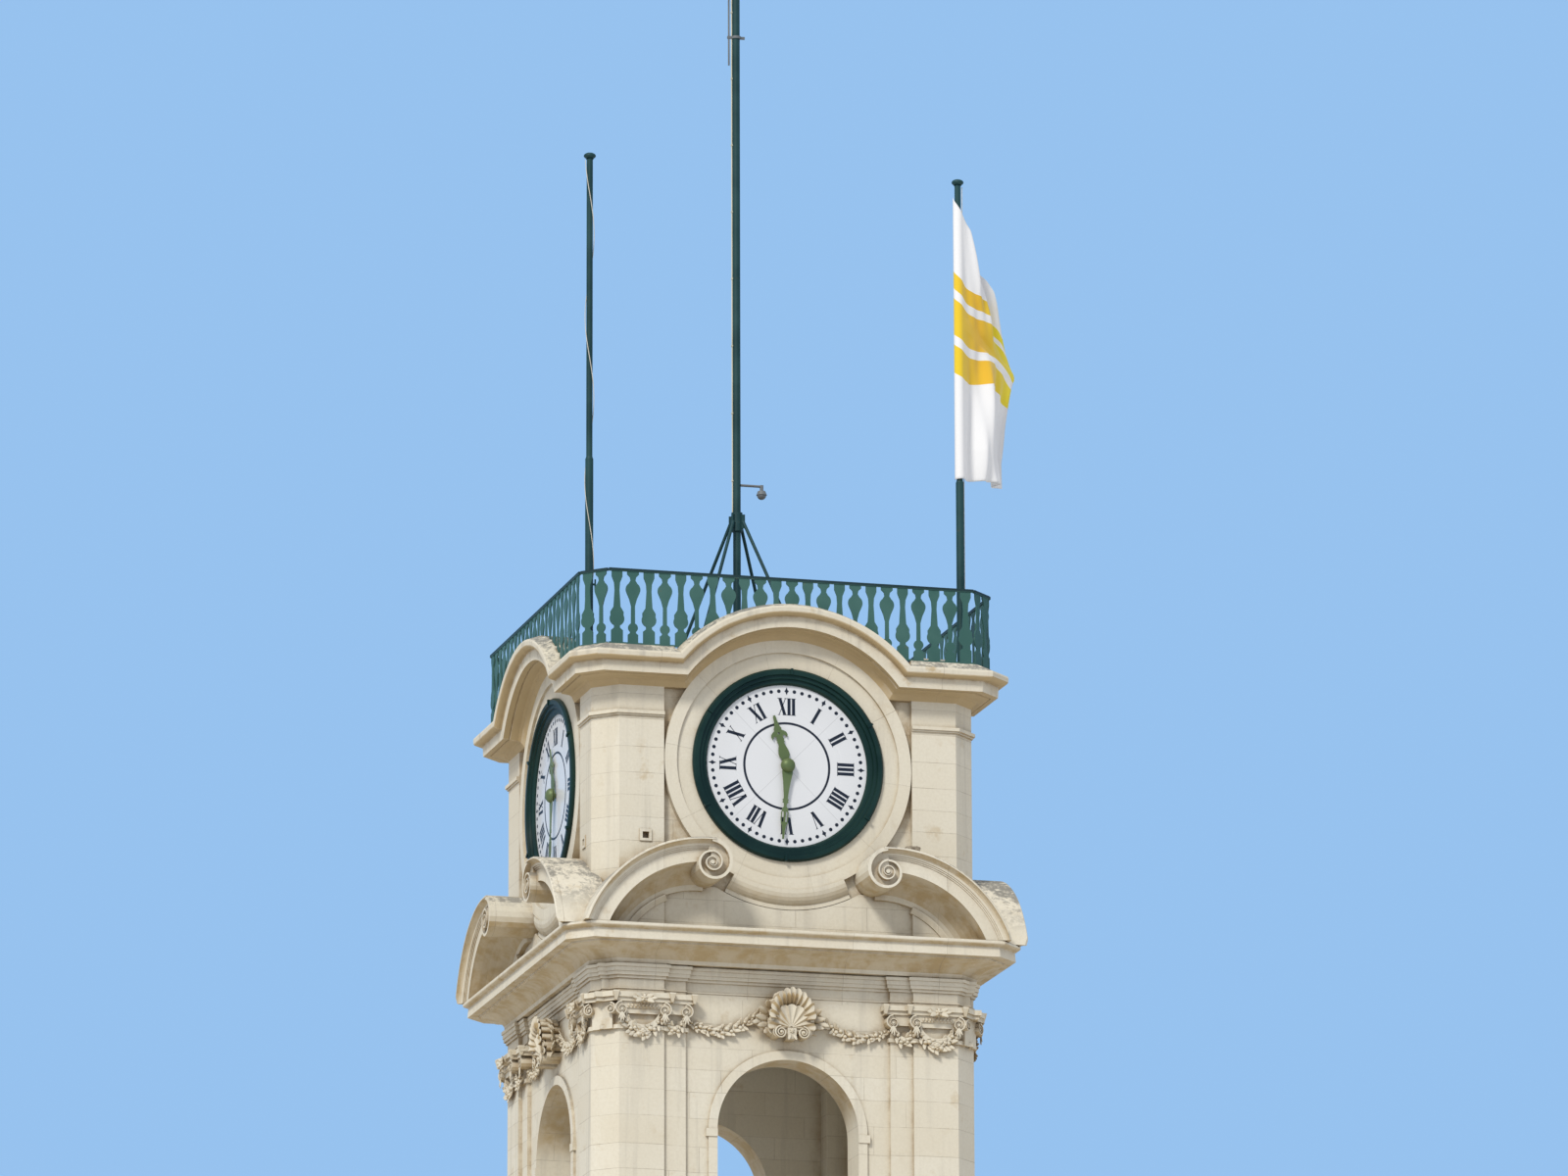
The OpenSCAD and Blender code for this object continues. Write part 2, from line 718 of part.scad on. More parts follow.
// Front outline of the part of the crown that a dial's arch replaces, widened by grow
module arch_gap(grow) {
  drop = surround_r - crown_rise;
  foot = sqrt(drop * drop + 2 * drop * crown_rise) + grow;
  head = sqrt(drop * drop + 2 * drop * (crown_rise + crown_h)) + grow;
  slope = (head - foot) / crown_h;
  polygon([[-foot + slope, -1], [-head, crown_h], [-head, reach / 4], [head, reach / 4], [head, crown_h],
    [foot - slope, -1]]);
}

// The crown runs straight over the piers and turns in an arch over each dial
module crown_cornice() {
  edge = railing_r - half_w + 12;
  inner_r = surround_r + joint;
  hump_h = crown_h - 30 - joint;
  back = -2 * recess - 20;
  straight = concat([[-wall_t, 0]], crown_points, [[edge, crown_h], [-wall_t, crown_h]]);
  arched = concat([[back, 0]], crown_points, [[edge, hump_h], [back, hump_h]]);
  color("#e6ddc6") {
    difference() {
      translate([0, 0, crown_z]) course(straight, half_w);
      sides() translate([0, -panel_w, crown_z]) rotate([90, 0, 0]) linear_extrude(reach) arch_gap(joint);
    }
    sides() intersection() {
      translate([0, 0, clock_z]) face_turn([for (p = arched) [inner_r + p.y, half_w + p.x]], 0, 180);
      translate([0, 0, crown_z]) rotate([90, 0, 0]) linear_extrude(reach) intersection() {
        arch_gap(0);
        translate([-reach, 0]) square(2 * reach);
      }
    }
  }
}

module terrace_deck() {
  color("#b9ad95") translate([0, 0, deck_z - floor_t]) linear_extrude(floor_t) difference() {
    square(2 * inner_w, center = true);
    sides() translate([pilaster_in, pilaster_in]) square(reach);
  }
}

/* Dials and hands */

module dials() {
  color("#f2f2ee") sides() translate([0, 0, clock_z]) difference() {
    face_drum(dial_r + 14.7, panel_w, panel_w + dial_t);
    face_drum(pipe_r + running, 0, reach);
  }
}

module dial_rings() {
  color("#1f3a33") sides() translate([0, 0, clock_z]) {
    face_turn([[dial_r + 15, panel_w], [dial_r + 15, panel_w + dial_t], [dial_r, panel_w + dial_t],
      [dial_r, panel_w + 24], [dial_r + 14, panel_w + 40], [dial_r + 40, panel_w + 40],
      [dial_r + 44, panel_w + 56], [dial_r + 70, panel_w + 56], [dial_r + 74, panel_w + 74],
      [ring_r - 14, panel_w + 74], [ring_r, panel_w + 60], [ring_r, panel_w]]);
    for (i = [0 : 5]) rotate([0, -28 - 60 * i, 0]) translate([ring_r - 46, -panel_w - 84, -9])
      cube([46, 40, 18]);
  }
}

// Half outline of a hand with its distances along the hand scaled
function along(points, k) = [for (p = points) [p.x, k * p.y]];

// Minute hand that points up: a long taper, a leaf with two slots and a blunt tip
module minute_shape() {
  k = minute_len / 575;
  difference() {
    pair() polygon(along([[0, -42], [28, -32], [40, -8], [41, 60], [31, 115], [24, 170], [18, 225], [16, 262],
      [25, 266], [19, 278], [25, 290], [12, 296], [11, 322], [26, 342], [22, 352], [29, 366], [29, 430],
      [25, 455], [19, 460], [12, 500], [8, 545], [7, 575], [0, 575]], k));
    pair() polygon(along([[9, 366], [15, 358], [21, 368], [21, 436], [14, 446], [7, 438]], k));
  }
}

// Hour hand that points up: a drop, a ragged leaf and a cross leaf with hooks that curl down
module hour_shape() {
  k = hour_len / 400;
  difference() {
    pair() polygon(along([[0, -38], [24, -30], [36, -4], [30, 58], [41, 78], [43, 102], [36, 134], [26, 162],
      [22, 180], [31, 190], [25, 198], [33, 208], [24, 216], [25, 232], [36, 240], [48, 234], [58, 214],
      [66, 238], [60, 258], [44, 272], [29, 282], [30, 296], [20, 318], [13, 350], [11, 382], [8, 400],
      [0, 400]], k));
    translate([0, 258 * k]) circle(9, $fn = 24);
  }
}

module hour_hand() {
  y = panel_w + dial_t + hand_gap;
  color("#6f8048") translate([0, 0, clock_z]) difference() {
    union() {
      rotate([0, hour_angle, 0]) translate([0, -y, 0]) rotate([90, 0, 0])
        linear_extrude(hand_t) hour_shape();
      face_drum(pipe_r, panel_w - 40, y);
      face_drum(44, y, y + hand_t + 2);
    }
    face_drum(arbor_r + running, 0, reach);
  }
}

// The minute hand carries the dome over both hubs
module minute_hand() {
  y = panel_w + dial_t + 2 * hand_gap + hand_t;
  dome_y = y + hand_t;
  color("#6f8048") translate([0, 0, clock_z]) {
    rotate([0, minute_angle, 0]) translate([0, -y, 0]) rotate([90, 0, 0])
      linear_extrude(hand_t) minute_shape();
    face_drum(arbor_r, panel_w - 60, y + 1);
    face_turn(concat([[0, y], [56, y]], bend([0, dome_y], [56, 44], 0, 78, 8), [[0, dome_y + 43]]));
  }
}

module front_minute_hand() {
  side(0) minute_hand();
}

module right_minute_hand() {
  side(1) minute_hand();
}

module back_minute_hand() {
  side(2) minute_hand();
}

module left_minute_hand() {
  side(3) minute_hand();
}

module front_hour_hand() {
  side(0) hour_hand();
}

module right_hour_hand() {
  side(1) hour_hand();
}

module back_hour_hand() {
  side(2) hour_hand();
}

module left_hour_hand() {
  side(3) hour_hand();
}

/* The terrace railing and masts */

top_rail = 22;
low_rail = 14;
rail_leg = chamfer + 12;

// Cast baluster with its bulb above
module baluster_a(h) {
  pair() polygon([[0, 0], [40, 0], [40, 62], [23, 76], [23, 88], [0, 88]]);
  translate([0, 116]) circle(38, $fn = 32);
  pair() polygon([[0, 88], [16, 140], [15, h - 270], [30, h - 215], [52, h - 165], [0, h - 120]]);
  translate([0, h - 140]) circle(57, $fn = 40);
  pair() polygon([[0, h - 130], [40, h - 105], [19, h - 70], [24, h - 45], [46, h - 24], [46, h], [0, h]]);
}

// Cast baluster with its bulb below
module baluster_b(h) {
  pair() polygon([[0, 0], [46, 0], [46, 92], [23, 112], [23, 132], [0, 132]]);
  translate([0, h - 373]) circle(57, $fn = 40);
  pair() polygon([[0, 132], [23, 130], [50, 195], [52, 235], [27, h - 280], [19, h - 150],
    [23, h - 93], [42, h - 45], [42, h], [0, h]]);
}

module railing_panel(length, count) {
  h = railing_h - top_rail - low_rail;
  pitch = length / count;
  translate([0, -railing_r, terrace_z]) {
    translate([-length / 2, -6, railing_h - top_rail]) cube([length, baluster_t + 12, top_rail]);
    translate([-length / 2, -2, 0]) cube([length, baluster_t + 4, low_rail]);
    translate([0, baluster_t, low_rail - 1]) rotate([90, 0, 0]) linear_extrude(baluster_t)
      for (i = [0 : count - 1]) translate([(i - (count - 1) / 2) * pitch, 0])
        if (i % 2 == 0) baluster_b(h + 2); else baluster_a(h + 2);
  }
}

module railing_side() {
  color("#3f7a5c") difference() {
    railing_panel(2 * (railing_r - rail_leg), baluster_n);
    translate([0, 0, clock_z]) face_drum(surround_r + crown_h - 30 + joint, panel_w, reach);
  }
}

module railing_front() {
  side(0) railing_side();
}

module railing_right() {
  side(1) railing_side();
}

module railing_back() {
  side(2) railing_side();
}

module railing_left() {
  side(3) railing_side();
}

module railing_corners() {
  leg = rail_leg * sqrt(2);
  color("#3f7a5c") sides() rotate([0, 0, 45])
    translate([0, railing_r - (2 * railing_r - rail_leg) / sqrt(2), 0]) railing_panel(leg - 30, 2);
}

// Pole with a thicker lower part, a mushroom truck and a cleat on its right
module flagpole() {
  step_z = clock_z + 0.495 * pole_top;
  upper_r = pole_r - pole_step;
  top_z = clock_z + pole_top;
  color("#2d5545") translate([0, -pole_y, 0]) {
    translate([0, 0, terrace_z]) cylinder(r = pole_r, h = step_z - terrace_z);
    translate([0, 0, terrace_z]) cylinder(r = pole_r + 20, h = 20);
    translate([0, 0, step_z]) cylinder(r1 = pole_r, r2 = upper_r, h = 20);
    translate([0, 0, step_z - 20]) cylinder(r = upper_r, h = top_z - 20 - step_z);
    translate([0, 0, top_z - 50])
      rotate_extrude() polygon(concat([[0, 0], [30, 0]], bend([0, 25], [47, 25], -60, 90, 8)));
    translate([0, -7, cleat_z]) cube([pole_r + 20, 14, 14]);
    translate([pole_r + 12, -7, cleat_z - 33]) cube([10, 14, 80]);
  }
}

module left_flagpole() {
  translate([-pole_x, 0, 0]) flagpole();
}

module right_flagpole() {
  translate([pole_x, 0, 0]) flagpole();
}

// Line wound round a pole: a tube of eight sides that turns down from its left
module wound_line(top_z, low_z) {
  path_r = pole_r + line_r + joint;
  turns = (top_z - low_z) / halyard_pitch;
  rings = ceil(24 * turns);
  run = 2 * PI * path_r;
  length = norm([run, halyard_pitch]);
  rise = halyard_pitch / length;
  along = run / length;
  points = [for (i = [0 : rings]) let(a = 180 + 360 * turns * i / rings)
    for (k = [0 : 7]) let(u = [cos(a), sin(a), 0], v = [rise * sin(a), -rise * cos(a), -along])
      path_r * u + [0, 0, top_z - (top_z - low_z) * i / rings]
        + line_r * (cos(45 * k) * u + sin(45 * k) * v)];
  faces = concat([[for (k = [0 : 7]) k]], [for (i = [0 : rings - 1]) for (k = [0 : 7])
    for (n = [0, 1]) let(a = 8 * i + k, b = 8 * i + (k + 1) % 8) n == 0 ? [a, a + 8, b + 8] : [a, b + 8, b]],
    [[for (k = [7 : -1 : 0]) 8 * rings + k]]);
  polyhedron(points, faces);
}

// Halyards: wound round the left pole, and straight down the right one past its flag
module halyards() {
  top_z = clock_z + pole_top - 60;
  color("#d8d4c4") {
    translate([-pole_x, -pole_y, 0]) wound_line(top_z, cleat_z + 60);
    translate([pole_x + pole_r + joint + line_r, -pole_y, cleat_z + 60])
      cylinder(r = line_r, h = top_z - cleat_z - 60);
  }
}

// Flag that hangs from its hoist and drifts back from the front face
module flag() {
  hoist = pole_x + pole_r + 2 * (joint + line_r);
  color("#f4f4f0") translate([hoist, -pole_y, clock_z + flag_low]) rotate([0, 0, flag_drift])
    rotate([90, 0, 0]) linear_extrude(20, center = true)
      polygon([for (p = [[0, 0], [0.79, 0], [0.78, 0.092], [0.815, 0.228], [1, 0.421], [0.515, 0.675],
        [0.04, 1], [0, 1]]) [1 + p.x * flag_w, p.y * flag_h]]);
}

module central_mast() {
  color("#2d5545") {
    translate([0, 0, deck_z]) cylinder(r = mast_r, h = clock_z + mast_top - deck_z);
    translate([0, 0, deck_z]) cylinder(r = mast_r + 20, h = 24);
    translate([0, 0, clock_z + mast_top]) cylinder(r = mast_r + 6, h = 20);
  }
}

// Four stays from a collar on the mast to plates on the deck
module mast_braces() {
  plate = 120;
  top = [mast_r + 26, collar_z + collar_h / 2];
  foot = [inner_w - 266, deck_z + 10];
  lean = atan2(foot.x - top.x, top.y - foot.y);
  color("#2d5545") difference() {
    union() {
      translate([0, 0, collar_z]) cylinder(r = mast_r + 14, h = collar_h);
      sides() rotate([0, 0, 45]) {
        translate([-6, -top.x - 14, collar_z + 20]) cube([12, top.x + 14, collar_h - 40]);
        translate([0, -top.x, top.y]) rotate([-lean, 0, 0]) mirror([0, 0, 1])
          cylinder(r = 13, h = norm(foot - top), $fn = 24);
        translate([-plate / 2, -foot.x - plate / 2, deck_z]) cube([plate, plate, 20]);
      }
    }
    translate([0, 0, collar_z - 10]) cylinder(r = mast_r, h = collar_h + 20);
    translate([-reach, -reach, deck_z - reach]) cube([2 * reach, 2 * reach, reach]);
  }
}

// Pale conduit clipped to the left of the mast above its collar
module mast_conduit() {
  low_z = collar_z + collar_h + joint;
  x = mast_r + conduit_r + joint;
  color("#cfc9a8") {
    translate([-x, 0, low_z]) cylinder(r = conduit_r, h = clock_z + mast_top - 60 - low_z, $fn = 24);
    for (z = [low_z + 250 : clip_pitch : clock_z + mast_top - 200])
      translate([-x - conduit_r - 2, -conduit_r - 4, z]) cube([2 * conduit_r + 2, 2 * conduit_r + 8, 12]);
  }
}

module camera() {
  arm_z = clock_z + camera_rise;
  color("#39424a") {
    translate([mast_r, 0, arm_z]) rotate([0, 90, 0]) cylinder(r = 10, h = 170);
    translate([mast_r + 170, 0, arm_z - 40]) cylinder(r = 14, h = 50);
    translate([mast_r + 170, 0, arm_z - 70]) cylinder(r1 = 42, r2 = 30, h = 32);
    translate([mast_r + 170, 0, arm_z - 70]) sphere(36);
  }
}

module antenna() {
  arm_z = clock_z + antenna_rise;
  color("#8d949a") {
    difference() {
      union() {
        translate([-70, -8, arm_z]) cube([140, 16, 20]);
        translate([0, 0, arm_z]) cylinder(r = mast_r + 8, h = 20);
      }
      translate([0, 0, arm_z - 1]) cylinder(r = mast_r, h = 22);
      translate([-mast_r - 2 * conduit_r - 1, -conduit_r - joint, arm_z - 1])
        cube([2 * conduit_r + 6, 2 * (conduit_r + joint), 22]);
    }
    translate([-58, 0, arm_z - 220]) cylinder(r = 7, h = 760, $fn = 24);
  }
}

// Steel cabinet on the paving, behind the front cornice
module roof_hatch() {
  color("#43504b") translate([inner_w - 270, -inner_w + 185, deck_z]) {
    cube([200, 220, 540]);
    translate([-15, -15, 540]) cube([230, 250, 25]);
  }
}

plinth();
shaft_piers();
shaft_walls();
string_courses();
door_frame();
door_leaf();
window_frames();
window_panes();
floors();
shaft_cornice();
belfry_piers();
belfry_wall_front();
belfry_wall_right();
belfry_wall_back();
belfry_wall_left();
belfry_balustrades();
capitals();
shell_ornaments();
entablature();
main_cornice();
clock_piers();
clock_walls();
pediments();
dial_surrounds();
crown_cornice();
terrace_deck();
dials();
dial_rings();
front_minute_hand();
right_minute_hand();
back_minute_hand();
left_minute_hand();
front_hour_hand();
right_hour_hand();
back_hour_hand();
left_hour_hand();
railing_front();
railing_right();
railing_back();
railing_left();
railing_corners();
left_flagpole();
right_flagpole();
flag();
halyards();
central_mast();
mast_braces();
mast_conduit();
camera();
antenna();
roof_hatch();
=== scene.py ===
# %% [markdown]
# # A clock tower, dressed
#
# The solids of the tower come in as a fixed frame: walls, cornices, dials, hands, railing and
# masts, each already at its place in metres. This script gives every one of them a finish, adds
# the small pieces that a stone carver, a clockmaker, a joiner and a flag maker would add, and sets
# up a camera where the photograph was taken from.
#
# The tower is a model at half size, so a length on it is half of the real one.

# %% Load the tower
import math
from contextlib import contextmanager

import bpy
import numpy as np
from mathutils import Matrix, Vector


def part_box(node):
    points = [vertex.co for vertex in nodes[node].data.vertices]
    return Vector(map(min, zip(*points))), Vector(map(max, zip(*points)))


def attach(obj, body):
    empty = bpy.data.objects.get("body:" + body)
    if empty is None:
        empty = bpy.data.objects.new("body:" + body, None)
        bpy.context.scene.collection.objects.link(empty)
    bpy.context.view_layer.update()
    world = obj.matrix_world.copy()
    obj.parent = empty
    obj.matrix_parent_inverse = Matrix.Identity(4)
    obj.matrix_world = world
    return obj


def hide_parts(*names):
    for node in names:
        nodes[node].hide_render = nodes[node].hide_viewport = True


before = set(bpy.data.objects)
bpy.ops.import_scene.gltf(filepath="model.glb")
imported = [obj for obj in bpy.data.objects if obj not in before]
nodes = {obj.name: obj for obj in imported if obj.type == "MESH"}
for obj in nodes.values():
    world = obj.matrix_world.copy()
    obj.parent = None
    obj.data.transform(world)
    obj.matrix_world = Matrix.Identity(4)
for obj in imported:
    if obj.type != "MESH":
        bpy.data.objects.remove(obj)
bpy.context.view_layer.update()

# %% [markdown]
# ## Sizes that the pieces share
#
# Everything that is added later hangs on the same few measurements: how high a dial's centre is,
# how far each face stands from the tower's axis. They are read from the solids where that is
# possible, so that a piece still fits when the tower changes. The front looks along -Y, so a size
# that ends in _Y is how far something stands out to the front. The belfry's face goes back in two
# steps: from the pier to the half pier beside it, and on to the panel over the arch.

# %% Shared sizes
FACES = ("front", "right", "back", "left")
PIER_FOOT = 0.025
RECESS = 0.030
dial_low, dial_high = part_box("dials")
CLOCK_Z = (dial_low.z + dial_high.z) / 2
DIAL_Y = -dial_low.y
WALL_Y = -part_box("clock_walls")[0].y
PIER_Y = -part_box("belfry_piers")[0].y - PIER_FOOT
FRIEZE_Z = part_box("belfry_piers")[1].z
print(f"dial centre {CLOCK_Z:.3f}, dial {DIAL_Y:.3f}, wall {WALL_Y:.3f} and pier {PIER_Y:.3f} out")

# %% [markdown]
# ## The camera
#
# The photograph was taken from the ground, far away, through a long lens. The lens and the place
# were worked out from points on the tower whose size is known. The camera is made first, since
# every later look is judged through it.

# %% Camera
PHOTO_WIDTH, FOCAL_PIXELS, SENSOR = 1600, 9849.77, 36
DISTANCE, EYE_DROP = 72.989, 15.966
heading, pitch, roll = math.radians(14.987), math.radians(13.631), math.radians(-0.183)
azimuth = heading + math.radians(0.287)
EYE = Vector((-math.sin(heading) * DISTANCE, -math.cos(heading) * DISTANCE, CLOCK_Z - EYE_DROP))
forward = Vector((math.sin(azimuth) * math.cos(pitch), math.cos(azimuth) * math.cos(pitch), math.sin(pitch)))
level = Vector((math.cos(azimuth), -math.sin(azimuth), 0))
upright = level.cross(forward)
right = level * math.cos(roll) + upright * math.sin(roll)
up = upright * math.cos(roll) - level * math.sin(roll)

bpy.ops.object.camera_add()
camera = bpy.context.object
camera.name = "photo_camera"
camera.data.sensor_width = SENSOR
camera.data.lens = FOCAL_PIXELS / PHOTO_WIDTH * SENSOR
camera.data.clip_end = 400
camera.matrix_world = Matrix((
    (right.x, up.x, -forward.x, EYE.x),
    (right.y, up.y, -forward.y, EYE.y),
    (right.z, up.z, -forward.z, EYE.z),
    (0, 0, 0, 1)))
bpy.context.scene.camera = camera
print(f"camera {EYE.length:.1f} m away, lens {camera.data.lens:.1f} mm")

# %% [markdown]
# ## Shader maths as Python
#
# A stone finish is mostly arithmetic: where is this point, how far is it from the nearest joint,
# how much does it face the sky. Math nodes do that, but a wall of them is hard to read. A small
# class wraps a node's output, so that `1 - mask * 0.5` builds the same nodes: each operator of the
# class adds one Math node.

# %% Arithmetic on nodes
def math_node(operation, swap=False):
    """A method of Link that adds one Math node."""
    def method(link, *others):
        values = [link, *others]
        if swap:
            values.reverse()
        return link.finish.node("Math", dict(enumerate(values)), operation=operation)
    return method


class Link:
    """An output of a node that can be added, multiplied and compared."""

    __add__ = __radd__ = math_node("ADD")
    __sub__ = math_node("SUBTRACT")
    __rsub__ = math_node("SUBTRACT", swap=True)
    __mul__ = __rmul__ = math_node("MULTIPLY")
    __truediv__ = math_node("DIVIDE")
    __rtruediv__ = math_node("DIVIDE", swap=True)
    __mod__ = math_node("FLOORED_MODULO")
    __pow__ = math_node("POWER")
    __lt__ = math_node("LESS_THAN")
    __gt__ = math_node("GREATER_THAN")
    __abs__ = math_node("ABSOLUTE")
    least = math_node("MINIMUM")
    most = math_node("MAXIMUM")
    floor = math_node("FLOOR")
    sine = math_node("SINE")
    arctan2 = math_node("ARCTAN2")

    def __init__(self, finish, socket):
        self.finish = finish
        self.socket = socket

    def step(self, low, high, start=0.0, end=1.0):
        """A smooth change from start to end as this value goes from low to high."""
        inputs = {"Value": self, "From Min": low, "From Max": high, "To Min": start, "To Max": end}
        return self.finish.node("MapRange", inputs, interpolation_type="SMOOTHSTEP")


print("a link knows", len([name for name in vars(Link) if not name.startswith("__")]), "named steps")

# %% Finish
class Finish:
    """A material in the making. Its node method adds any node."""

    def __init__(self, name, colour=(0.8, 0.8, 0.8), roughness=0.6, metallic=0.0, **shader):
        self.material = bpy.data.materials.new(name)
        self.material.use_nodes = True
        self.tree = self.material.node_tree
        self.shader = self.tree.nodes["Principled BSDF"]
        self.point = self.node("TexCoord", out="Object")
        shader.update({"Base Color": (*colour, 1), "Roughness": roughness, "Metallic": metallic})
        for socket, value in shader.items():
            self.set(socket, value)

    def node(self, kind, inputs=None, out=0, stops=(), **settings):
        """Adds a node: its settings and its ramp's stops first, then its sockets."""
        added = self.tree.nodes.new("ShaderNode" + kind)
        for key, value in settings.items():
            setattr(added, key, value)
        for place, _ in stops[1:-1]:
            added.color_ramp.elements.new(place)
        for k, (place, colour) in enumerate(stops):
            added.color_ramp.elements[k].position = place
            added.color_ramp.elements[k].color = (*colour, 1)
        for key, value in (inputs or {}).items():
            self.plug(added.inputs[key], value)
        return Link(self, added.outputs[out])

    def plug(self, socket, value):
        if isinstance(value, Link):
            self.tree.links.new(value.socket, socket)
        else:
            socket.default_value = value

    def set(self, name, value):
        self.plug(self.shader.inputs[name], value)

    def parts(self, vector):
        """The x, y and z of a vector."""
        split = self.node("SeparateXYZ", {0: vector})
        return [Link(self, output) for output in split.socket.node.outputs]

    def place(self):
        """The point on the piece, in metres, as x, y and z."""
        return self.parts(self.point)

    def facing(self):
        """The way the surface faces, as x, y and z."""
        return self.parts(self.node("NewGeometry", out="Normal"))

    def noise(self, scale, detail=4.0, rough=0.55, stretch=None):
        """Soft noise, which a small number in stretch draws out that way."""
        at = self.point
        if stretch:
            at = self.node("Mapping", {"Vector": at, "Scale": stretch})
        return self.node("TexNoise", {"Vector": at, "Scale": scale, "Detail": detail, "Roughness": rough})

    def mix(self, share, first, second):
        """The first colour where share is 0, the second where it is 1."""
        colours = [tint if isinstance(tint, Link) else (*tint, 1) for tint in (first, second)]
        return self.node("Mix", {0: share, 6: colours[0], 7: colours[1]}, out=2, data_type="RGBA",
                         clamp_factor=True)

    def bump(self, height, strength, distance):
        self.set("Normal", self.node("Bump", {"Height": height, "Strength": strength, "Distance": distance}))


def along_face(x, y, nx, ny):
    """How far along its face a point lies, and 1 where that face looks to a side."""
    sideways = abs(nx) > abs(ny)
    return y * sideways + x * (1 - sideways), sideways


def dress(finish, *names):
    """Gives CAD nodes a finish."""
    for name in names:
        for slot in nodes[name].material_slots:
            slot.material = finish.material


print(sum(len(node.material_slots) for node in nodes.values()), "material slots to dress")

# %% [markdown]
# ## Weathered limestone
#
# The tower is faced with pale limestone blocks. From afar one sees three things: each block has a
# slightly different tone, the joints between blocks are fine dark lines, and rain has washed the
# tops grey with lichen while dirt and painted shade darken the stone under the cornices. The first
# two come from the place of a point on the tower, so that the blocks run on from piece to piece.
#
# A block's tone needs a random number per block. White noise on the block's row and column gives
# one number for each block. Which way a row runs depends on which way the wall faces. There are
# four ways to lay stones, and each is a function that returns a point's row, its column and how
# far the nearest joint is.

# %% Joints between the stones
COURSE, BLOCK = 0.19, 0.62
SWAY_PACE, SWAY = 6.3, 0.022
ROW_SHIFT, UPRIGHT_SHIFT = 0.037, 0.31
WEDGE, WEDGE_SHIFT = math.pi / 5, 0.12


def to_joint(value, pitch):
    """How far a value lies from the nearest multiple of the pitch."""
    return pitch / 2 - abs(value % pitch - pitch / 2)


def swayed(z):
    """A height that sways a little, so that courses differ in height."""
    return z + (z * SWAY_PACE).sine() * SWAY


def ashlar_joints(along, z, course, block):
    """On a wall, each course breaks joint with the one below it."""
    high = swayed(z)
    row = (high / course).floor()
    shifted = along + (row % 2) * (block * 0.5) + row * ROW_SHIFT
    return row, (shifted / block).floor(), to_joint(shifted, block).least(to_joint(high, course))


def course_joints(along, z, course, block):
    """A narrow pier has one stone to a course, and level joints alone."""
    high = swayed(z)
    return (high / course).floor(), (along / block).floor(), to_joint(high, course)


def upright_joints(along, z, course, block):
    """A moulded course has upright joints alone, and its tones change every five metres up."""
    shifted = along + UPRIGHT_SHIFT
    return (z * 0.2).floor(), (shifted / block).floor(), to_joint(shifted, block)


def dial_joints(along, z, course, block):
    """The stone ring round a dial has joints that point to its centre."""
    high = z - CLOCK_Z
    turn = high.arctan2(along) + WEDGE_SHIFT
    radius = (high ** 2 + along ** 2) ** 0.5
    return 0.0, (turn / WEDGE).floor(), to_joint(turn, WEDGE) * radius


print(f"courses {COURSE} m high, {2 * math.pi / WEDGE:.0f} stones round a dial")

# %% [markdown]
# Dirt gathers where rain can't reach: in grooves, under ledges, behind carving. The Ambient
# Occlusion node measures how open a point is, with only what stands near it in the way. A point
# that is closed in turns brown, partly dirt and partly painted shade, and a downward face takes a
# warm tint that is partly a stain and partly painted shade. The colour is built up in layers, each
# a share and a tint.
#
# One function makes all the stone but one broken piece. The crown is dirtier than the walls, and
# the shells' hoods, where no rain comes, are dirtier still and have no lichen. For both, the
# stronger dirt deepens the painted shade too.

# %% Limestone
LIMESTONE = (0.64, 0.585, 0.465)
PALE_STONE = (0.715, 0.680, 0.580)
GRAIN_TAN = (0.53, 0.475, 0.365)
BROWN_STAIN_AND_SHADE = (0.45, 0.335, 0.18)
CLOSED_IN_DIRT_AND_SHADE = (0.33, 0.235, 0.125)
DRIP_GREY = (0.45, 0.415, 0.345)
SPECKLE = (0.42, 0.38, 0.30)
LICHEN = (0.21, 0.20, 0.175)
JOINT = (0.25, 0.20, 0.14)
JOINT_HALF = 0.0022
NEARBY = 0.16


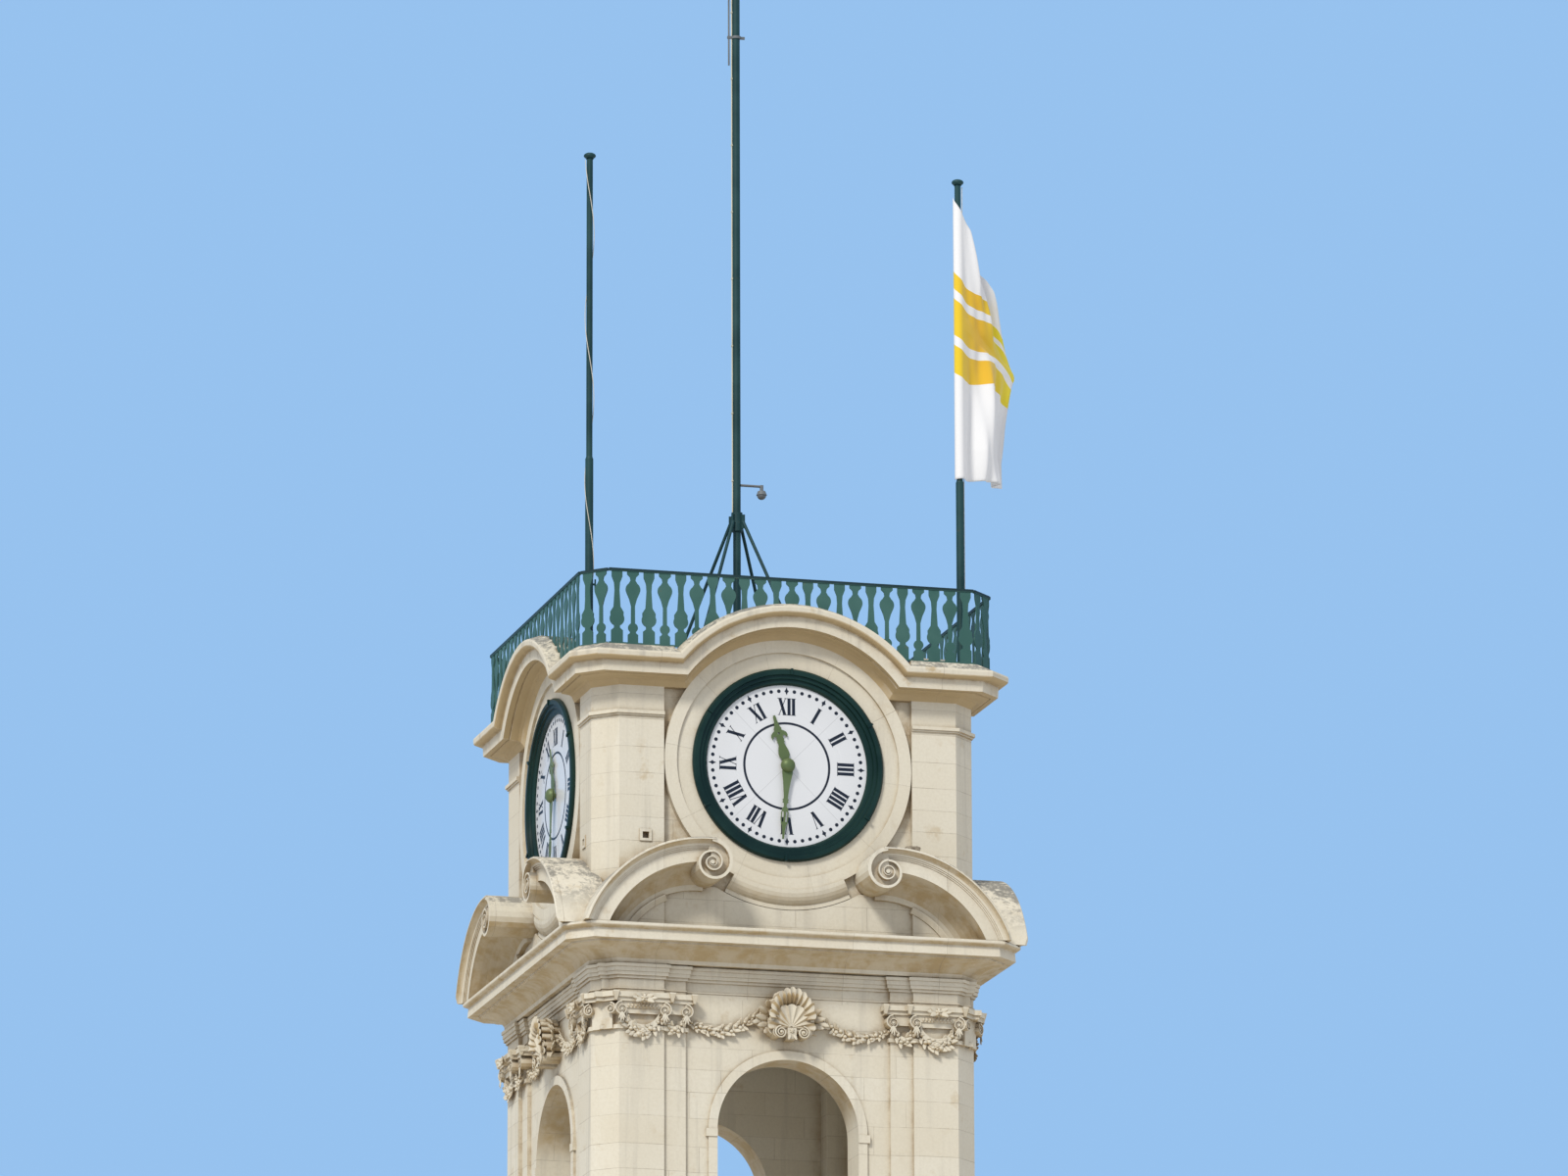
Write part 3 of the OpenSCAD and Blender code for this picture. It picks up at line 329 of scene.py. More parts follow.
def limestone(name, joints, course=COURSE, block=BLOCK, dirt_and_shade=1.0, lichen=1.0):
    f = Finish(name, **{"Specular IOR Level": 0.3})
    x, y, z = f.place()
    nx, ny, nz = f.facing()
    along, sideways = along_face(x, y, nx, ny)
    row, column, gap = joints(along, z, course, block)
    cell = f.node("CombineXYZ", {0: row, 1: column, 2: sideways})
    tone = f.node("TexWhiteNoise", {"Vector": cell}, out="Value")
    grain = f.noise(46, 6, 0.62)
    moss = f.noise(24, 7, 0.75)
    blotch = f.noise(6.5, 6, 0.65)
    patch = f.noise(3.2, 5, 0.6)
    cloud = f.noise(1.4, 5, 0.6)
    streak = f.noise(1.0, 5, 0.6, stretch=(9, 9, 0.5))
    open_sky = f.node("AmbientOcclusion", {"Distance": NEARBY}, out="AO", samples=6)
    # Closed-in points turn brown: partly dirt, partly painted shade.
    crevice = open_sky.step(0.92, 0.35)
    # Downward faces turn a warm brown: partly a stain, partly painted shade.
    under = nz.step(-0.08, -0.5)
    top = nz.step(0.35, 0.8)
    worn = 0.14 + tone * 0.30 + blotch.step(0.4, 0.65) * 0.36
    line = gap.step(JOINT_HALF * 0.4, JOINT_HALF, 1, 0) * worn

    colour = f.mix(tone * 0.4 + cloud.step(0.3, 0.7) * 0.35, LIMESTONE, PALE_STONE)
    for share, tint in (
            (grain.step(0.35, 0.7) * 0.25, GRAIN_TAN),
            (streak.step(0.52, 0.72) * (0.42 * dirt_and_shade), DRIP_GREY),
            (blotch.step(0.56, 0.72) * cloud.step(0.42, 0.6) * (0.5 * dirt_and_shade), BROWN_STAIN_AND_SHADE),
            (under * (0.62 + blotch.step(0.4, 0.65) * 0.38) * dirt_and_shade, BROWN_STAIN_AND_SHADE),
            (crevice * (0.28 + blotch.step(0.38, 0.62) * 0.55) * dirt_and_shade, CLOSED_IN_DIRT_AND_SHADE),
            (top * (moss + patch * 0.8).step(0.78, 0.98) * (0.9 * lichen), LICHEN),
            (moss.step(0.62, 0.70) * (0.30 * lichen), SPECKLE),
            (line, JOINT)):
        colour = f.mix(share, colour, tint)
    f.set("Base Color", colour)
    f.set("Roughness", 0.72 + grain * 0.2)
    f.bump(grain * 0.4 + blotch * 0.5 - line * 0.8 - moss.step(0.5, 0.7) * 0.2, 0.5, 0.004)
    return f


ashlar = limestone("limestone_ashlar", ashlar_joints, block=0.56)
piers = limestone("limestone_piers", course_joints, block=0.9)
coursed = limestone("limestone_moulded", upright_joints, block=0.74)
# The crown's stronger dirt also deepens its painted shade under ledges and in grooves.
crown_stain_and_shade = limestone("limestone_crown", upright_joints, block=0.74, dirt_and_shade=1.8)
turned = limestone("limestone_dial_ring", dial_joints, dirt_and_shade=0.6, lichen=0.5)
carved = limestone("limestone_carved", upright_joints, block=5.0, lichen=0.7)
# The hoods' lining gets the most dirt and painted shade, and no lichen.
hood_dirt_and_shade = limestone("limestone_sheltered", upright_joints, block=5.0, dirt_and_shade=2.4, lichen=0.0)
dress(ashlar, "plinth", "shaft_piers", "shaft_walls", "clock_walls", "door_frame",
      *[f"belfry_wall_{face}" for face in FACES])
dress(piers, "belfry_piers", "clock_piers")
dress(coursed, "string_courses", "shaft_cornice", "entablature", "main_cornice",
      "belfry_balustrades", "pediments")
dress(crown_stain_and_shade, "crown_cornice")
dress(turned, "dial_surrounds")
dress(carved, "capitals", "shell_ornaments")
print("limestone on", sum("limestone" in o.active_material.name for o in nodes.values()), "nodes")

# %% [markdown]
# ## Paving, wood and glass
#
# The floors are worn paving: square slabs of slightly different tones, with dirty joints. The door
# is dark boards and the window frames are painted softwood, each with a grain stretched along z.
# The panes look dark from outside, and their gloss is a little uneven.

# %% Paving
SLAB = 0.3
paving = Finish("worn_paving", roughness=0.85)
x, y, z = paving.place()
cell = paving.node("CombineXYZ", {0: (x / SLAB).floor(), 1: (y / SLAB).floor()})
tone = paving.node("TexWhiteNoise", {"Vector": cell}, out="Value")
edge = to_joint(x, SLAB).least(to_joint(y, SLAB))
dirt = paving.noise(6, 6, 0.6)
slabs = paving.mix(tone * 0.6 + dirt * 0.3, (0.46, 0.41, 0.33), (0.58, 0.53, 0.45))
paving.set("Base Color", paving.mix(edge.step(0.002, 0.006, 1, 0) * 0.8, slabs, (0.22, 0.19, 0.15)))
paving.bump(dirt * 0.5 + edge.step(0.0, 0.006), 0.4, 0.004)
dress(paving, "floors", "terrace_deck")
print(f"slabs {SLAB} m square")

# %% Wood and glass
def wood(name, dark, light, roughness):
    f = Finish(name, roughness=roughness)
    grain = f.noise(1.0, 6, 0.6, stretch=(40, 40, 2.2))
    f.set("Base Color", f.mix(grain.step(0.35, 0.65) * 0.7 + f.noise(3, 4) * 0.2, dark, light))
    f.bump(grain, 0.35, 0.002)
    return f


dress(wood("dark_door_boards", (0.075, 0.045, 0.028), (0.17, 0.105, 0.062), 0.5), "door_leaf")
bar_paint = wood("painted_window_wood", (0.20, 0.25, 0.21), (0.28, 0.33, 0.28), 0.55)
dress(bar_paint, "window_frames")

pane = Finish("window_glass", colour=(0.10, 0.14, 0.16), **{"Specular IOR Level": 0.8})
pane.set("Roughness", pane.noise(5, 3) * 0.12 + 0.03)
dress(pane, "window_panes")
print("panes and frames dressed at", len(nodes["window_panes"].data.polygons), "triangles of glass")

# %% [markdown]
# ## Painted iron
#
# The railing, the dial rings and the masts are painted in three greens. Paint on iron chips and
# dulls: the colour shifts with a soft noise, runs of rust come through in spots, and the gloss
# breaks up. One function makes all of them, and the hands' bronze and the grey fittings too. The
# rail on top of the railing is darkened above a given height: painted shade of a rail seen from
# below in its shadow, with some dirt.

# %% Painted iron
RUST = (0.17, 0.09, 0.045)
RAIL_SHADE_AND_DIRT = (0.008, 0.022, 0.024)
TOP_RAIL = 0.022
RAIL_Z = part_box("railing_front")[1].z - TOP_RAIL


def painted_iron(name, paint, faded, rust=0.25, roughness=0.45, metallic=0.0, gloss=0.4,
                 dark_above=None):
    f = Finish(name, metallic=metallic, **{"Specular IOR Level": gloss})
    z, facing_up = f.place()[2], f.facing()[2]
    soft = f.noise(2.2, 4)
    fine = f.noise(60, 5, 0.6)
    chips = f.noise(14, 6, 0.7)
    chipped = chips.step(0.66, 0.72)
    colour = f.mix(soft.step(0.35, 0.65) * 0.7 + facing_up.step(0.4, 0.9) * 0.3, paint, faded)
    colour = f.mix(chipped * rust, colour, RUST)
    # Painted shade with some dirt: the top rail darkens above this height.
    if dark_above:
        colour = f.mix(z.step(dark_above, dark_above + 0.004) * 0.9, colour, RAIL_SHADE_AND_DIRT)
    f.set("Base Color", colour)
    f.set("Roughness", roughness + fine * 0.15 + chips.step(0.6, 0.72) * 0.2)
    f.bump(fine * 0.3 - chipped * 0.6, 0.25, 0.001)
    return f


railing_paint = painted_iron("railing_green_paint", (0.035, 0.104, 0.087), (0.060, 0.144, 0.122),
                             gloss=0.3, dark_above=RAIL_Z)
ring_paint = painted_iron("dial_ring_paint", (0.004, 0.019, 0.015), (0.012, 0.038, 0.029),
                          rust=0.1, roughness=0.30, gloss=0.22)
mast_paint = painted_iron("mast_green_paint", (0.008, 0.036, 0.037), (0.022, 0.070, 0.070),
                          rust=0.2, gloss=0.25)
hand_bronze = painted_iron("hand_green_bronze", (0.125, 0.165, 0.060), (0.20, 0.245, 0.115),
                           rust=0.2, roughness=0.42, metallic=0.35)
grey_fitting = painted_iron("grey_fitting_paint", (0.10, 0.11, 0.115), (0.20, 0.21, 0.21), rust=0.1)
strap_iron = painted_iron("door_strap_iron", (0.030, 0.031, 0.033), (0.07, 0.07, 0.07), rust=0.5)
conduit_paint = painted_iron("cream_conduit_paint", (0.50, 0.47, 0.33), (0.66, 0.63, 0.50),
                             rust=0.3, roughness=0.5)
dress(railing_paint, "railing_corners", *[f"railing_{face}" for face in FACES])
dress(ring_paint, "dial_rings")
dress(mast_paint, "left_flagpole", "right_flagpole", "central_mast", "mast_braces")
dress(grey_fitting, "camera", "antenna", "roof_hatch")
dress(conduit_paint, "mast_conduit")
dress(hand_bronze, *[f"{face}_{kind}_hand" for face in FACES for kind in ("minute", "hour")])
print(f"railing darkened above {RAIL_Z:.3f} m")

# %% [markdown]
# The halyards are thin braided line: a slanting wave gives the turns of the braid.

# %% Halyards
braid = Finish("halyard_line", roughness=0.85)
twist = braid.node("TexWave", {"Scale": 40.0, "Distortion": 0.4}, bands_direction="DIAGONAL")
braid.set("Base Color", braid.mix(twist, (0.48, 0.46, 0.39), (0.70, 0.68, 0.60)))
braid.bump(twist, 0.4, 0.001)
dress(braid, "halyards")
print("braid on", len(nodes["halyards"].data.polygons), "triangles of line")

# %% [markdown]
# ## Enamelled dials
#
# Each dial is white, in four quarters: fine grey seams run to the corners. Rain leaves a faint
# grey veil near the rim. The seams are where the two diagonals pass, so they come from the
# place of a point, too.

# %% Dial enamel
enamel = Finish("dial_white_enamel", **{"Coat Weight": 0.3, "Coat Roughness": 0.15})
x, y, z = enamel.place()
nx, ny, nz = enamel.facing()
aside = abs(along_face(x, y, nx, ny)[0])
high = abs(z - CLOCK_Z)
seam = abs(aside - high).step(0.0010, 0.0032, 1, 0)
radius = (aside ** 2 + high ** 2) ** 0.5
veil = enamel.noise(4, 5) * radius.step(0.35, 0.62)
white = enamel.mix(veil * 0.35, (0.70, 0.708, 0.72), (0.56, 0.57, 0.58))
enamel.set("Base Color", enamel.mix(seam * 0.7, white, (0.42, 0.42, 0.42)))
enamel.set("Roughness", 0.25 + veil * 0.3)
dress(enamel, "dials")
print(f"dials {dial_high.z - dial_low.z:.3f} m across in the wall")

# %% [markdown]
# ## Tools for the added pieces
#
# A piece starts as a primitive, is worked on in edit mode, and ends with its place in its own
# mesh. A few small helpers carry that out for everything below. `edit_mode` goes into edit mode
# and comes back. `cut_out` makes a flat sheet of metal or paint: a filled circle with as many
# corners as the outline needs, each corner moved to its place, then extruded. `settle` gives a
# finished piece its body, slot and material, and `settle_on_each_face` does so for a front piece
# and its copies on the other three faces of the tower.

# %% Helpers for one piece
@contextmanager
def edit_mode(whole=True):
    """Edit mode while the indented lines run, with the whole mesh selected unless told not to."""
    bpy.ops.object.mode_set(mode="EDIT")
    if whole:
        bpy.ops.mesh.select_all(action="SELECT")
    yield
    bpy.ops.object.mode_set(mode="OBJECT")


def nothing_selected():
    bpy.ops.object.select_all(action="DESELECT")


def take(*pieces):
    """Selects the pieces alone and makes the first one active."""
    nothing_selected()
    for piece in pieces:
        piece.select_set(True)
    bpy.context.view_layer.objects.active = pieces[0]


def cut_out(outline, back, front):
    """A flat piece in the plane of the front face: outline is [x, z], front stands further out."""
    nothing_selected()
    bpy.ops.mesh.primitive_circle_add(vertices=len(outline), radius=1, fill_type="NGON")
    piece = bpy.context.object
    for vertex, (x, z) in zip(piece.data.vertices, outline):
        vertex.co = (x, -back, z)
    with edit_mode():
        bpy.ops.mesh.extrude_region_move(TRANSFORM_OT_translate={"value": (0, back - front, 0)})
        bpy.ops.mesh.select_all(action="SELECT")
        bpy.ops.mesh.normals_make_consistent(inside=False)
    return piece


def thicken(piece, thickness, offset=0):
    """Gives a sheet its thickness: half to each side, or all outwards where offset is 1."""
    take(piece)
    bpy.ops.object.modifier_add(type="SOLIDIFY")
    solidify = piece.modifiers[-1]
    solidify.thickness = thickness
    solidify.offset = offset
    bpy.ops.object.modifier_apply(modifier=solidify.name)


# %% Helpers for copies and for handing over
def copy_of(piece, place):
    """A copy with its own mesh, moved there."""
    copy = piece.copy()
    copy.data = piece.data.copy()
    copy.data.transform(place)
    bpy.context.collection.objects.link(copy)
    return copy


def join(name, pieces):
    take(*pieces)
    if len(pieces) > 1:
        bpy.ops.object.join()
    whole = pieces[0]
    whole.name = name
    bpy.ops.object.transform_apply()
    return whole


def settle(piece, finish):
    piece.data.materials.clear()
    piece.data.materials.append(finish.material)
    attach(piece, "tower")


def settle_on_each_face(piece, finish):
    """Copies a front piece to the other faces, a quarter turn apart, and settles all four."""
    pieces = [piece]
    for turn, face in enumerate(FACES[1:], 1):
        copy = copy_of(piece, Matrix.Rotation(math.radians(90 * turn), 4, "Z"))
        copy.name = piece.name.replace("front", face)
        pieces.append(copy)
    for one in pieces:
        settle(one, finish)
    print(len(piece.data.polygons), "faces in", piece.name)


print("front pieces are copied to", ", ".join(FACES[1:]))

# %% [markdown]
# ## Numbers and minutes on the dials
#
# The numbers are Roman, with strong contrast between thick and thin strokes and hairline serifs,
# and their feet point to the centre. Each is a few straight bars, so each bar is cut out as an
# outline that has its serifs already. The four is IIII, as on most tower clocks. Inside them runs
# a thin circle, and round the edge a ring of dots, with a lozenge at every fifth minute.
#
# They stand a millimetre out and aren't painted in the shader, so that their edges stay sharp.
#
# A letter is written down as its strokes, each with its foot, its head and its width, then how far
# the serifs at its feet reach, and how far on the next letter starts.

# %% Dial numbers
NUMERAL_LOW, NUMERAL_HIGH = 0.397, 0.530
THICK, THIN, SERIF, REACH, GAP = 0.0240, 0.0050, 0.0040, 0.006, 0.0115
PAINT_BACK, PAINT_FRONT = DIAL_Y - 0.0005, DIAL_Y + 0.0012
LETTERS = {
    "I": ([(THICK / 2, THICK / 2, THICK)], REACH, THICK + GAP),
    "V": ([(0.033, THICK / 2, THICK), (0.036, 0.060, THIN)], 0, 0.070),
    "X": ([(0.052, THICK / 2, THICK), (0.006, 0.058, THIN)], REACH, 0.073)}
HOURS = ("XII", "I", "II", "III", "IIII", "V", "VI", "VII", "VIII", "IX", "X", "XI")


def bar(foot, head, width, foot_reach):
    """Outline of a straight stroke from foot to head, with flat serifs that reach past it."""
    high = NUMERAL_HIGH - NUMERAL_LOW
    lean = (head - foot) / high * SERIF
    half = width / 2
    low, top = half + foot_reach, half + REACH
    return [(foot - low, 0), (foot + low, 0), (foot + low, SERIF), (foot + half + lean, SERIF),
            (head + half - lean, high - SERIF), (head + top, high - SERIF), (head + top, high),
            (head - top, high), (head - top, high - SERIF), (head - half - lean, high - SERIF),
            (foot - half + lean, SERIF), (foot - low, SERIF)]


def numeral(word):
    """Outlines of a Roman number, centred, from its letters."""
    bars, edge = [], 0.0
    for letter in word:
        strokes, foot_reach, pitch = LETTERS[letter]
        bars += [bar(edge + foot, edge + head, width, foot_reach) for foot, head, width in strokes]
        edge += pitch
    middle = (edge - GAP) / 2
    return [[(x - middle, z) for x, z in outline] for outline in bars]


def at_hour(outline, hour, radius):
    """Turns an outline to its place round the dial, feet to the centre."""
    turn = math.radians(30 * hour)
    return [(x * math.cos(turn) + (radius + z) * math.sin(turn),
             CLOCK_Z - x * math.sin(turn) + (radius + z) * math.cos(turn)) for x, z in outline]


marks = [cut_out(at_hour(outline, hour, NUMERAL_LOW), PAINT_BACK, PAINT_FRONT)
         for hour, word in enumerate(HOURS) for outline in numeral(word)]
print(len(marks), "bars in the numbers")

# %% Minute dots, lozenges and the inner circle
DOT_RING, DOT_R, DOT_SIDES = 0.585, 0.0142, 16
CIRCLE_R, CIRCLE_THICK, CIRCLE_FLAT = 0.334, 0.0092, 0.25
dot = [(DOT_R * math.cos(a), DOT_R * math.sin(a))
       for a in np.linspace(0, 2 * math.pi, DOT_SIDES, endpoint=False)]
lozenge = [(0.0175, 0), (0.0075, 0.011), (0, 0.031), (-0.0075, 0.011),
           (-0.0175, 0), (-0.0075, -0.011), (0, -0.031), (0.0075, -0.011)]
for minute in range(60):
    outline = at_hour(dot if minute % 5 else lozenge, minute / 5, DOT_RING)
    marks.append(cut_out(outline, PAINT_BACK, PAINT_FRONT))

dial_centre = (0, -DIAL_Y, CLOCK_Z)
nothing_selected()
bpy.ops.mesh.primitive_torus_add(major_radius=CIRCLE_R, minor_radius=CIRCLE_THICK, major_segments=128,
                                 minor_segments=8, location=dial_centre, rotation=(math.pi / 2, 0, 0))
bpy.ops.object.transform_apply()
with edit_mode():
    bpy.ops.transform.resize(value=(1, CIRCLE_FLAT, 1), center_override=dial_centre)
marks.append(bpy.context.object)

black = Finish("dial_black_paint")
wear = black.noise(30, 4)
black.set("Base Color", black.mix(wear.step(0.5, 0.75) * 0.5, (0.006, 0.006, 0.012), (0.03, 0.03, 0.04)))
black.set("Roughness", 0.3 + wear * 0.2)
settle_on_each_face(join("front_dial_marks", marks), black)

# %% [markdown]
# ## Window bars and door furniture
#
# The shaft's windows are wooden casements: one upright bar and two level ones hold six panes. A
# bar is a long box whose edges are planed off, so it is a cube with a bevel. Each is let into the
# frame by two millimetres at both ends. The door hangs on long iron straps and has a ring for a
# handle, on a round boss.

# %% Window bars
WINDOW_WIDE, WINDOW_LOW, WINDOW_HIGH = 0.32, 2.34, 3.01
STOREYS, WINDOW_PITCH, PANE_Y, LET_IN = 3, 2.5, 1.233, 0.004


def planed_bar(size, at, edge=0.004):
    """A wooden or iron bar with planed edges."""
    nothing_selected()
    bpy.ops.mesh.primitive_cube_add(size=1, location=at, scale=size)
    bpy.ops.object.transform_apply()
    with edit_mode():
        bpy.ops.mesh.bevel(offset=edge, segments=1)
    return bpy.context.object


bars = []
for storey in range(STOREYS):
    low, high = WINDOW_LOW + storey * WINDOW_PITCH, WINDOW_HIGH + storey * WINDOW_PITCH
    bars.append(planed_bar((0.020, 0.024, high - low + LET_IN), (0, -PANE_Y, (low + high) / 2)))
    for share in (1 / 3, 2 / 3):
        middle = (0, -PANE_Y, low + share * (high - low))
        bars.append(planed_bar((WINDOW_WIDE + LET_IN, 0.018, 0.016), middle))
settle_on_each_face(join("front_window_bars", bars), bar_paint)

# %% Door furniture
STRAP, STRAP_X = (0.225, 0.006, 0.026), 0.180
RING_X, RING_R, BOSS_R = 0.05, 0.030, 0.013
door_low, door_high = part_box("door_leaf")
boss_z = door_low.z + 0.69
straps = []
for side in (-1, 1):
    for z in (door_low.z + 0.17, boss_z, door_high.z - 0.20):
        straps.append(planed_bar(STRAP, (side * STRAP_X, door_low.y - 0.0005, z), edge=0.0015))
nothing_selected()
bpy.ops.mesh.primitive_torus_add(major_radius=RING_R, minor_radius=0.0042, major_segments=32,
                                 minor_segments=10, rotation=(math.pi / 2, 0, 0),
                                 location=(RING_X, door_low.y - 0.010, boss_z - RING_R))
straps.append(bpy.context.object)
nothing_selected()
bpy.ops.mesh.primitive_uv_sphere_add(segments=16, ring_count=10, radius=BOSS_R,
                                     location=(RING_X, door_low.y - 0.003, boss_z))
straps.append(bpy.context.object)
print(len(straps), "pieces of ironwork on the door")
settle(join("door_straps_and_ring", straps), strap_iron)

# %% [markdown]
# ## Carving
#
# The capitals carry swags of flowers and leaves, and over each arch stands a shell between sprays
# of leaves. At this distance a carving reads through its rhythm: round fruits, pointed leaves, a
# flower in the middle. So four things are modelled once, a leaf, a petal, a fruit and the horn of
# an abacus, which is the square corner above a scroll. Every swag, spray and flower is made of
# copies that are turned and sized in place.
#
# The leaf starts as a grid, drawn in to a point and bent over in code, then thickened. The petal
# and the fruit are spheres that are pressed flat or long.

# %% Leaf, petal, fruit and horn
def leaf_blank():
    """A leaf along z, one long and one wide, that curls outwards at its tip."""
    nothing_selected()
    bpy.ops.mesh.primitive_grid_add(x_subdivisions=4, y_subdivisions=7, size=1)
    piece = bpy.context.object
    for vertex in piece.data.vertices:
        across, t = vertex.co.x * 2, vertex.co.y + 0.5
        taper = math.sin(math.pi * min(1, 0.16 + 0.84 * t)) ** 0.8
        half = 0.5 * taper * (1 + 0.16 * math.cos(9 * math.pi * t))
        curl = 0.30 * t * t + 0.10 * math.sin(math.pi * t)
        vertex.co = (across * half, 0.12 * abs(across) * half - curl, t)
    thicken(piece, 0.10)
    bpy.ops.object.shade_smooth()
    return piece


def round_blank(size):
    nothing_selected()
    bpy.ops.mesh.primitive_uv_sphere_add(segments=10, ring_count=7, radius=0.5)
    with edit_mode():
        bpy.ops.transform.resize(value=size)
    bpy.ops.object.shade_smooth()
    return bpy.context.object


def horn_blank():
    """The corner of an abacus: a square cap that narrows downwards, one high and one wide."""
    nothing_selected()
    bpy.ops.mesh.primitive_cone_add(vertices=4, radius1=0.26, radius2=0.707, depth=0.8,
                                    location=(0, 0, -0.5), rotation=(0, 0, math.pi / 4))
    bpy.ops.object.transform_apply()
    piece = bpy.context.object
    with edit_mode(whole=False):
        bpy.ops.mesh.select_all(action="DESELECT")
    for face in piece.data.polygons:
        face.select = face.normal.z > 0.9
    with edit_mode(whole=False):
        bpy.ops.mesh.extrude_region_move(TRANSFORM_OT_translate={"value": (0, 0, 0.1)})
        bpy.ops.mesh.select_all(action="SELECT")
        bpy.ops.mesh.bevel(offset=0.03, segments=1)
    return piece


leaf, horn = leaf_blank(), horn_blank()
petal, fruit = round_blank((0.62, 0.42, 1.0)), round_blank((1.0, 0.9, 1.0))
carving = []
print(len(leaf.data.polygons), "faces in a leaf,", len(fruit.data.polygons), "in a fruit")

# %% Flowers, swags and tufts
def carve(blank, at, size, turn=0.0, tip=0.0):
    """A copy of a blank on the front face at (x, y, z): turned in the face, tipped outwards."""
    carving.append(copy_of(blank, Matrix.Translation(at) @ Matrix.Rotation(math.radians(turn), 4, "Y")
                           @ Matrix.Rotation(math.radians(tip), 4, "X") @ Matrix.Diagonal((*size, 1))))


def flower(x, y, z, radius, petals=6):
    for k in range(petals):
        turn = 360 * k / petals
        a = math.radians(turn)
        carve(petal, (x + 0.52 * radius * math.sin(a), y, z + 0.52 * radius * math.cos(a)),
              (radius, radius, 1.05 * radius), turn, tip=-18)
    carve(fruit, (x, y - 0.25 * radius, z), (0.55 * radius, 0.55 * radius, 0.55 * radius))


def swag(start, end, sag, depth, thick, links, y, middle=False):
    """Fruits and leaves on a hanging line from start to end, both [x, z], thickest in the middle."""
    wide, rise = end[0] - start[0], end[1] - start[1]
    for k, t in enumerate(np.linspace(0, 1, links)):
        x = start[0] + wide * t
        z = start[1] + rise * t - sag * 4 * t * (1 - t)
        fat = thick * (0.62 + 0.38 * math.sin(math.pi * t))
        slope = math.degrees(math.atan2(wide, rise - 4 * sag * (1 - 2 * t)))
        wobble = 7 * ((k * 37) % 5 - 2)
        for side in (-1, 1):
            carve(leaf, (x + side * 0.10 * fat * math.cos(math.radians(slope)), y - 0.1 * depth, z),
                  (0.46 * fat, depth, 0.95 * fat), slope + side * (38 + wobble), tip=10)
        out = 0.17 * fat if k % 2 else -0.17 * fat
        size = fat * (0.50, 0.40, 0.44)[k % 3]
        carve(fruit, (x, y - depth * 0.40, z + out), (size, 0.42 * fat, size), tip=10 * (k % 3))
        carve(petal, (x + 0.18 * fat, y - depth * 0.35, z - 1.2 * out),
              (0.42 * fat, 0.36 * fat, 0.50 * fat), turn=slope + 50 * (k % 3))
    if middle:
        flower(start[0] + wide / 2, y - 0.6 * depth, start[1] + rise / 2 - sag, 0.36 * thick)


def tuft(x, y, z, length):
    """Leaves that hang from the eye of a scroll."""
    for turn in (-26, -7, 12, 30):
        carve(leaf, (x, y, z), (0.20 * length, 0.4 * length, length * (1 - abs(turn) / 110)),
              180 + turn, tip=-6)


print("a leaf before it is sized:", [round(side, 2) for side in leaf.dimensions])

# %% Carving of a capital and of the frieze beside it
PIER_MID, PIER_HALF, HALF_EYE_X = 1.150, 0.167, 0.808
HALF_Y, PANEL_Y = PIER_Y - RECESS, PIER_Y - 2 * RECESS
EYE_Z = FRIEZE_Z - 0.130
SWAG_Z = EYE_Z - 0.060
left_eye, right_eye = PIER_MID - PIER_HALF, PIER_MID + PIER_HALF
swag((left_eye + 0.016, SWAG_Z), (right_eye - 0.016, SWAG_Z), sag=0.112, depth=0.044, thick=0.094,
     links=11, y=-PIER_Y - 0.012, middle=True)
swag((HALF_EYE_X + 0.014, SWAG_Z), (left_eye - 0.014, SWAG_Z), sag=0.085, depth=0.040, thick=0.078,
     links=7, y=-PIER_Y - 0.004)
swag((0.790, EYE_Z - 0.055), (0.236, FRIEZE_Z - 0.105), sag=0.108, depth=0.040, thick=0.082,
     links=17, y=-PANEL_Y - 0.014)
for x, front in ((left_eye, PIER_Y), (right_eye, PIER_Y), (HALF_EYE_X, HALF_Y)):
    tuft(x, -front - 0.060, EYE_Z - 0.026, 0.080)
flower(PIER_MID, -PIER_Y - 0.090, FRIEZE_Z - 0.048, 0.036, petals=5)
for side in (-1, 1):
    for turn, length in ((62, 0.066), (88, 0.088), (118, 0.070)):
        carve(leaf, (PIER_MID + side * 0.012, -PIER_Y - 0.084, FRIEZE_Z - 0.050),
              (0.040, 0.050, length), side * turn, tip=6)
for x, front in ((PIER_MID - 0.222, PIER_Y), (PIER_MID + 0.215, PIER_Y), (HALF_EYE_X - 0.060, HALF_Y)):
    carve(horn, (x, -front - 0.062, FRIEZE_Z + 0.004), (0.046, 0.052, 0.082))
for k in range(-4, 5):
    carve(fruit, (PIER_MID + k * 0.027, -PIER_Y - 0.038, EYE_Z + 0.030), (0.021, 0.026, 0.036))
print(len(carving), "carvings on one side of a face")

# %% Capitals on both sides
right_half = join("front_capital_carving", carving)
left_half = copy_of(right_half, Matrix.Diagonal((-1, 1, 1, 1)))
left_half.data.flip_normals()
carving.clear()
settle_on_each_face(join("front_capital_carving", [right_half, left_half]), carved)

# %% [markdown]
# ## The shell over each arch
#
# The solids give it a flat fan with a scalloped edge, and a hood over that. What is missing is the
# fluting: a scallop shell is a row of hollows parted by sharp ridges, which all start at the hinge
# and swell towards the rim. Such a surface is a grid that is bent into polar form: one way along
# the grid is the angle, the other the way out from the hinge. The ridges stand out where a sine of
# the angle is zero, and the edge bulges between them. One sheet covers the fan. A deeper one, bent
# forward like the bowl of a spoon, lines the hood, and is a piece of its own, since its stone is
# dirtier and darker with painted shade.

# %% Fluted shell
FAN_Z, HOOD_Z = FRIEZE_Z - 0.215, FRIEZE_Z - 0.166


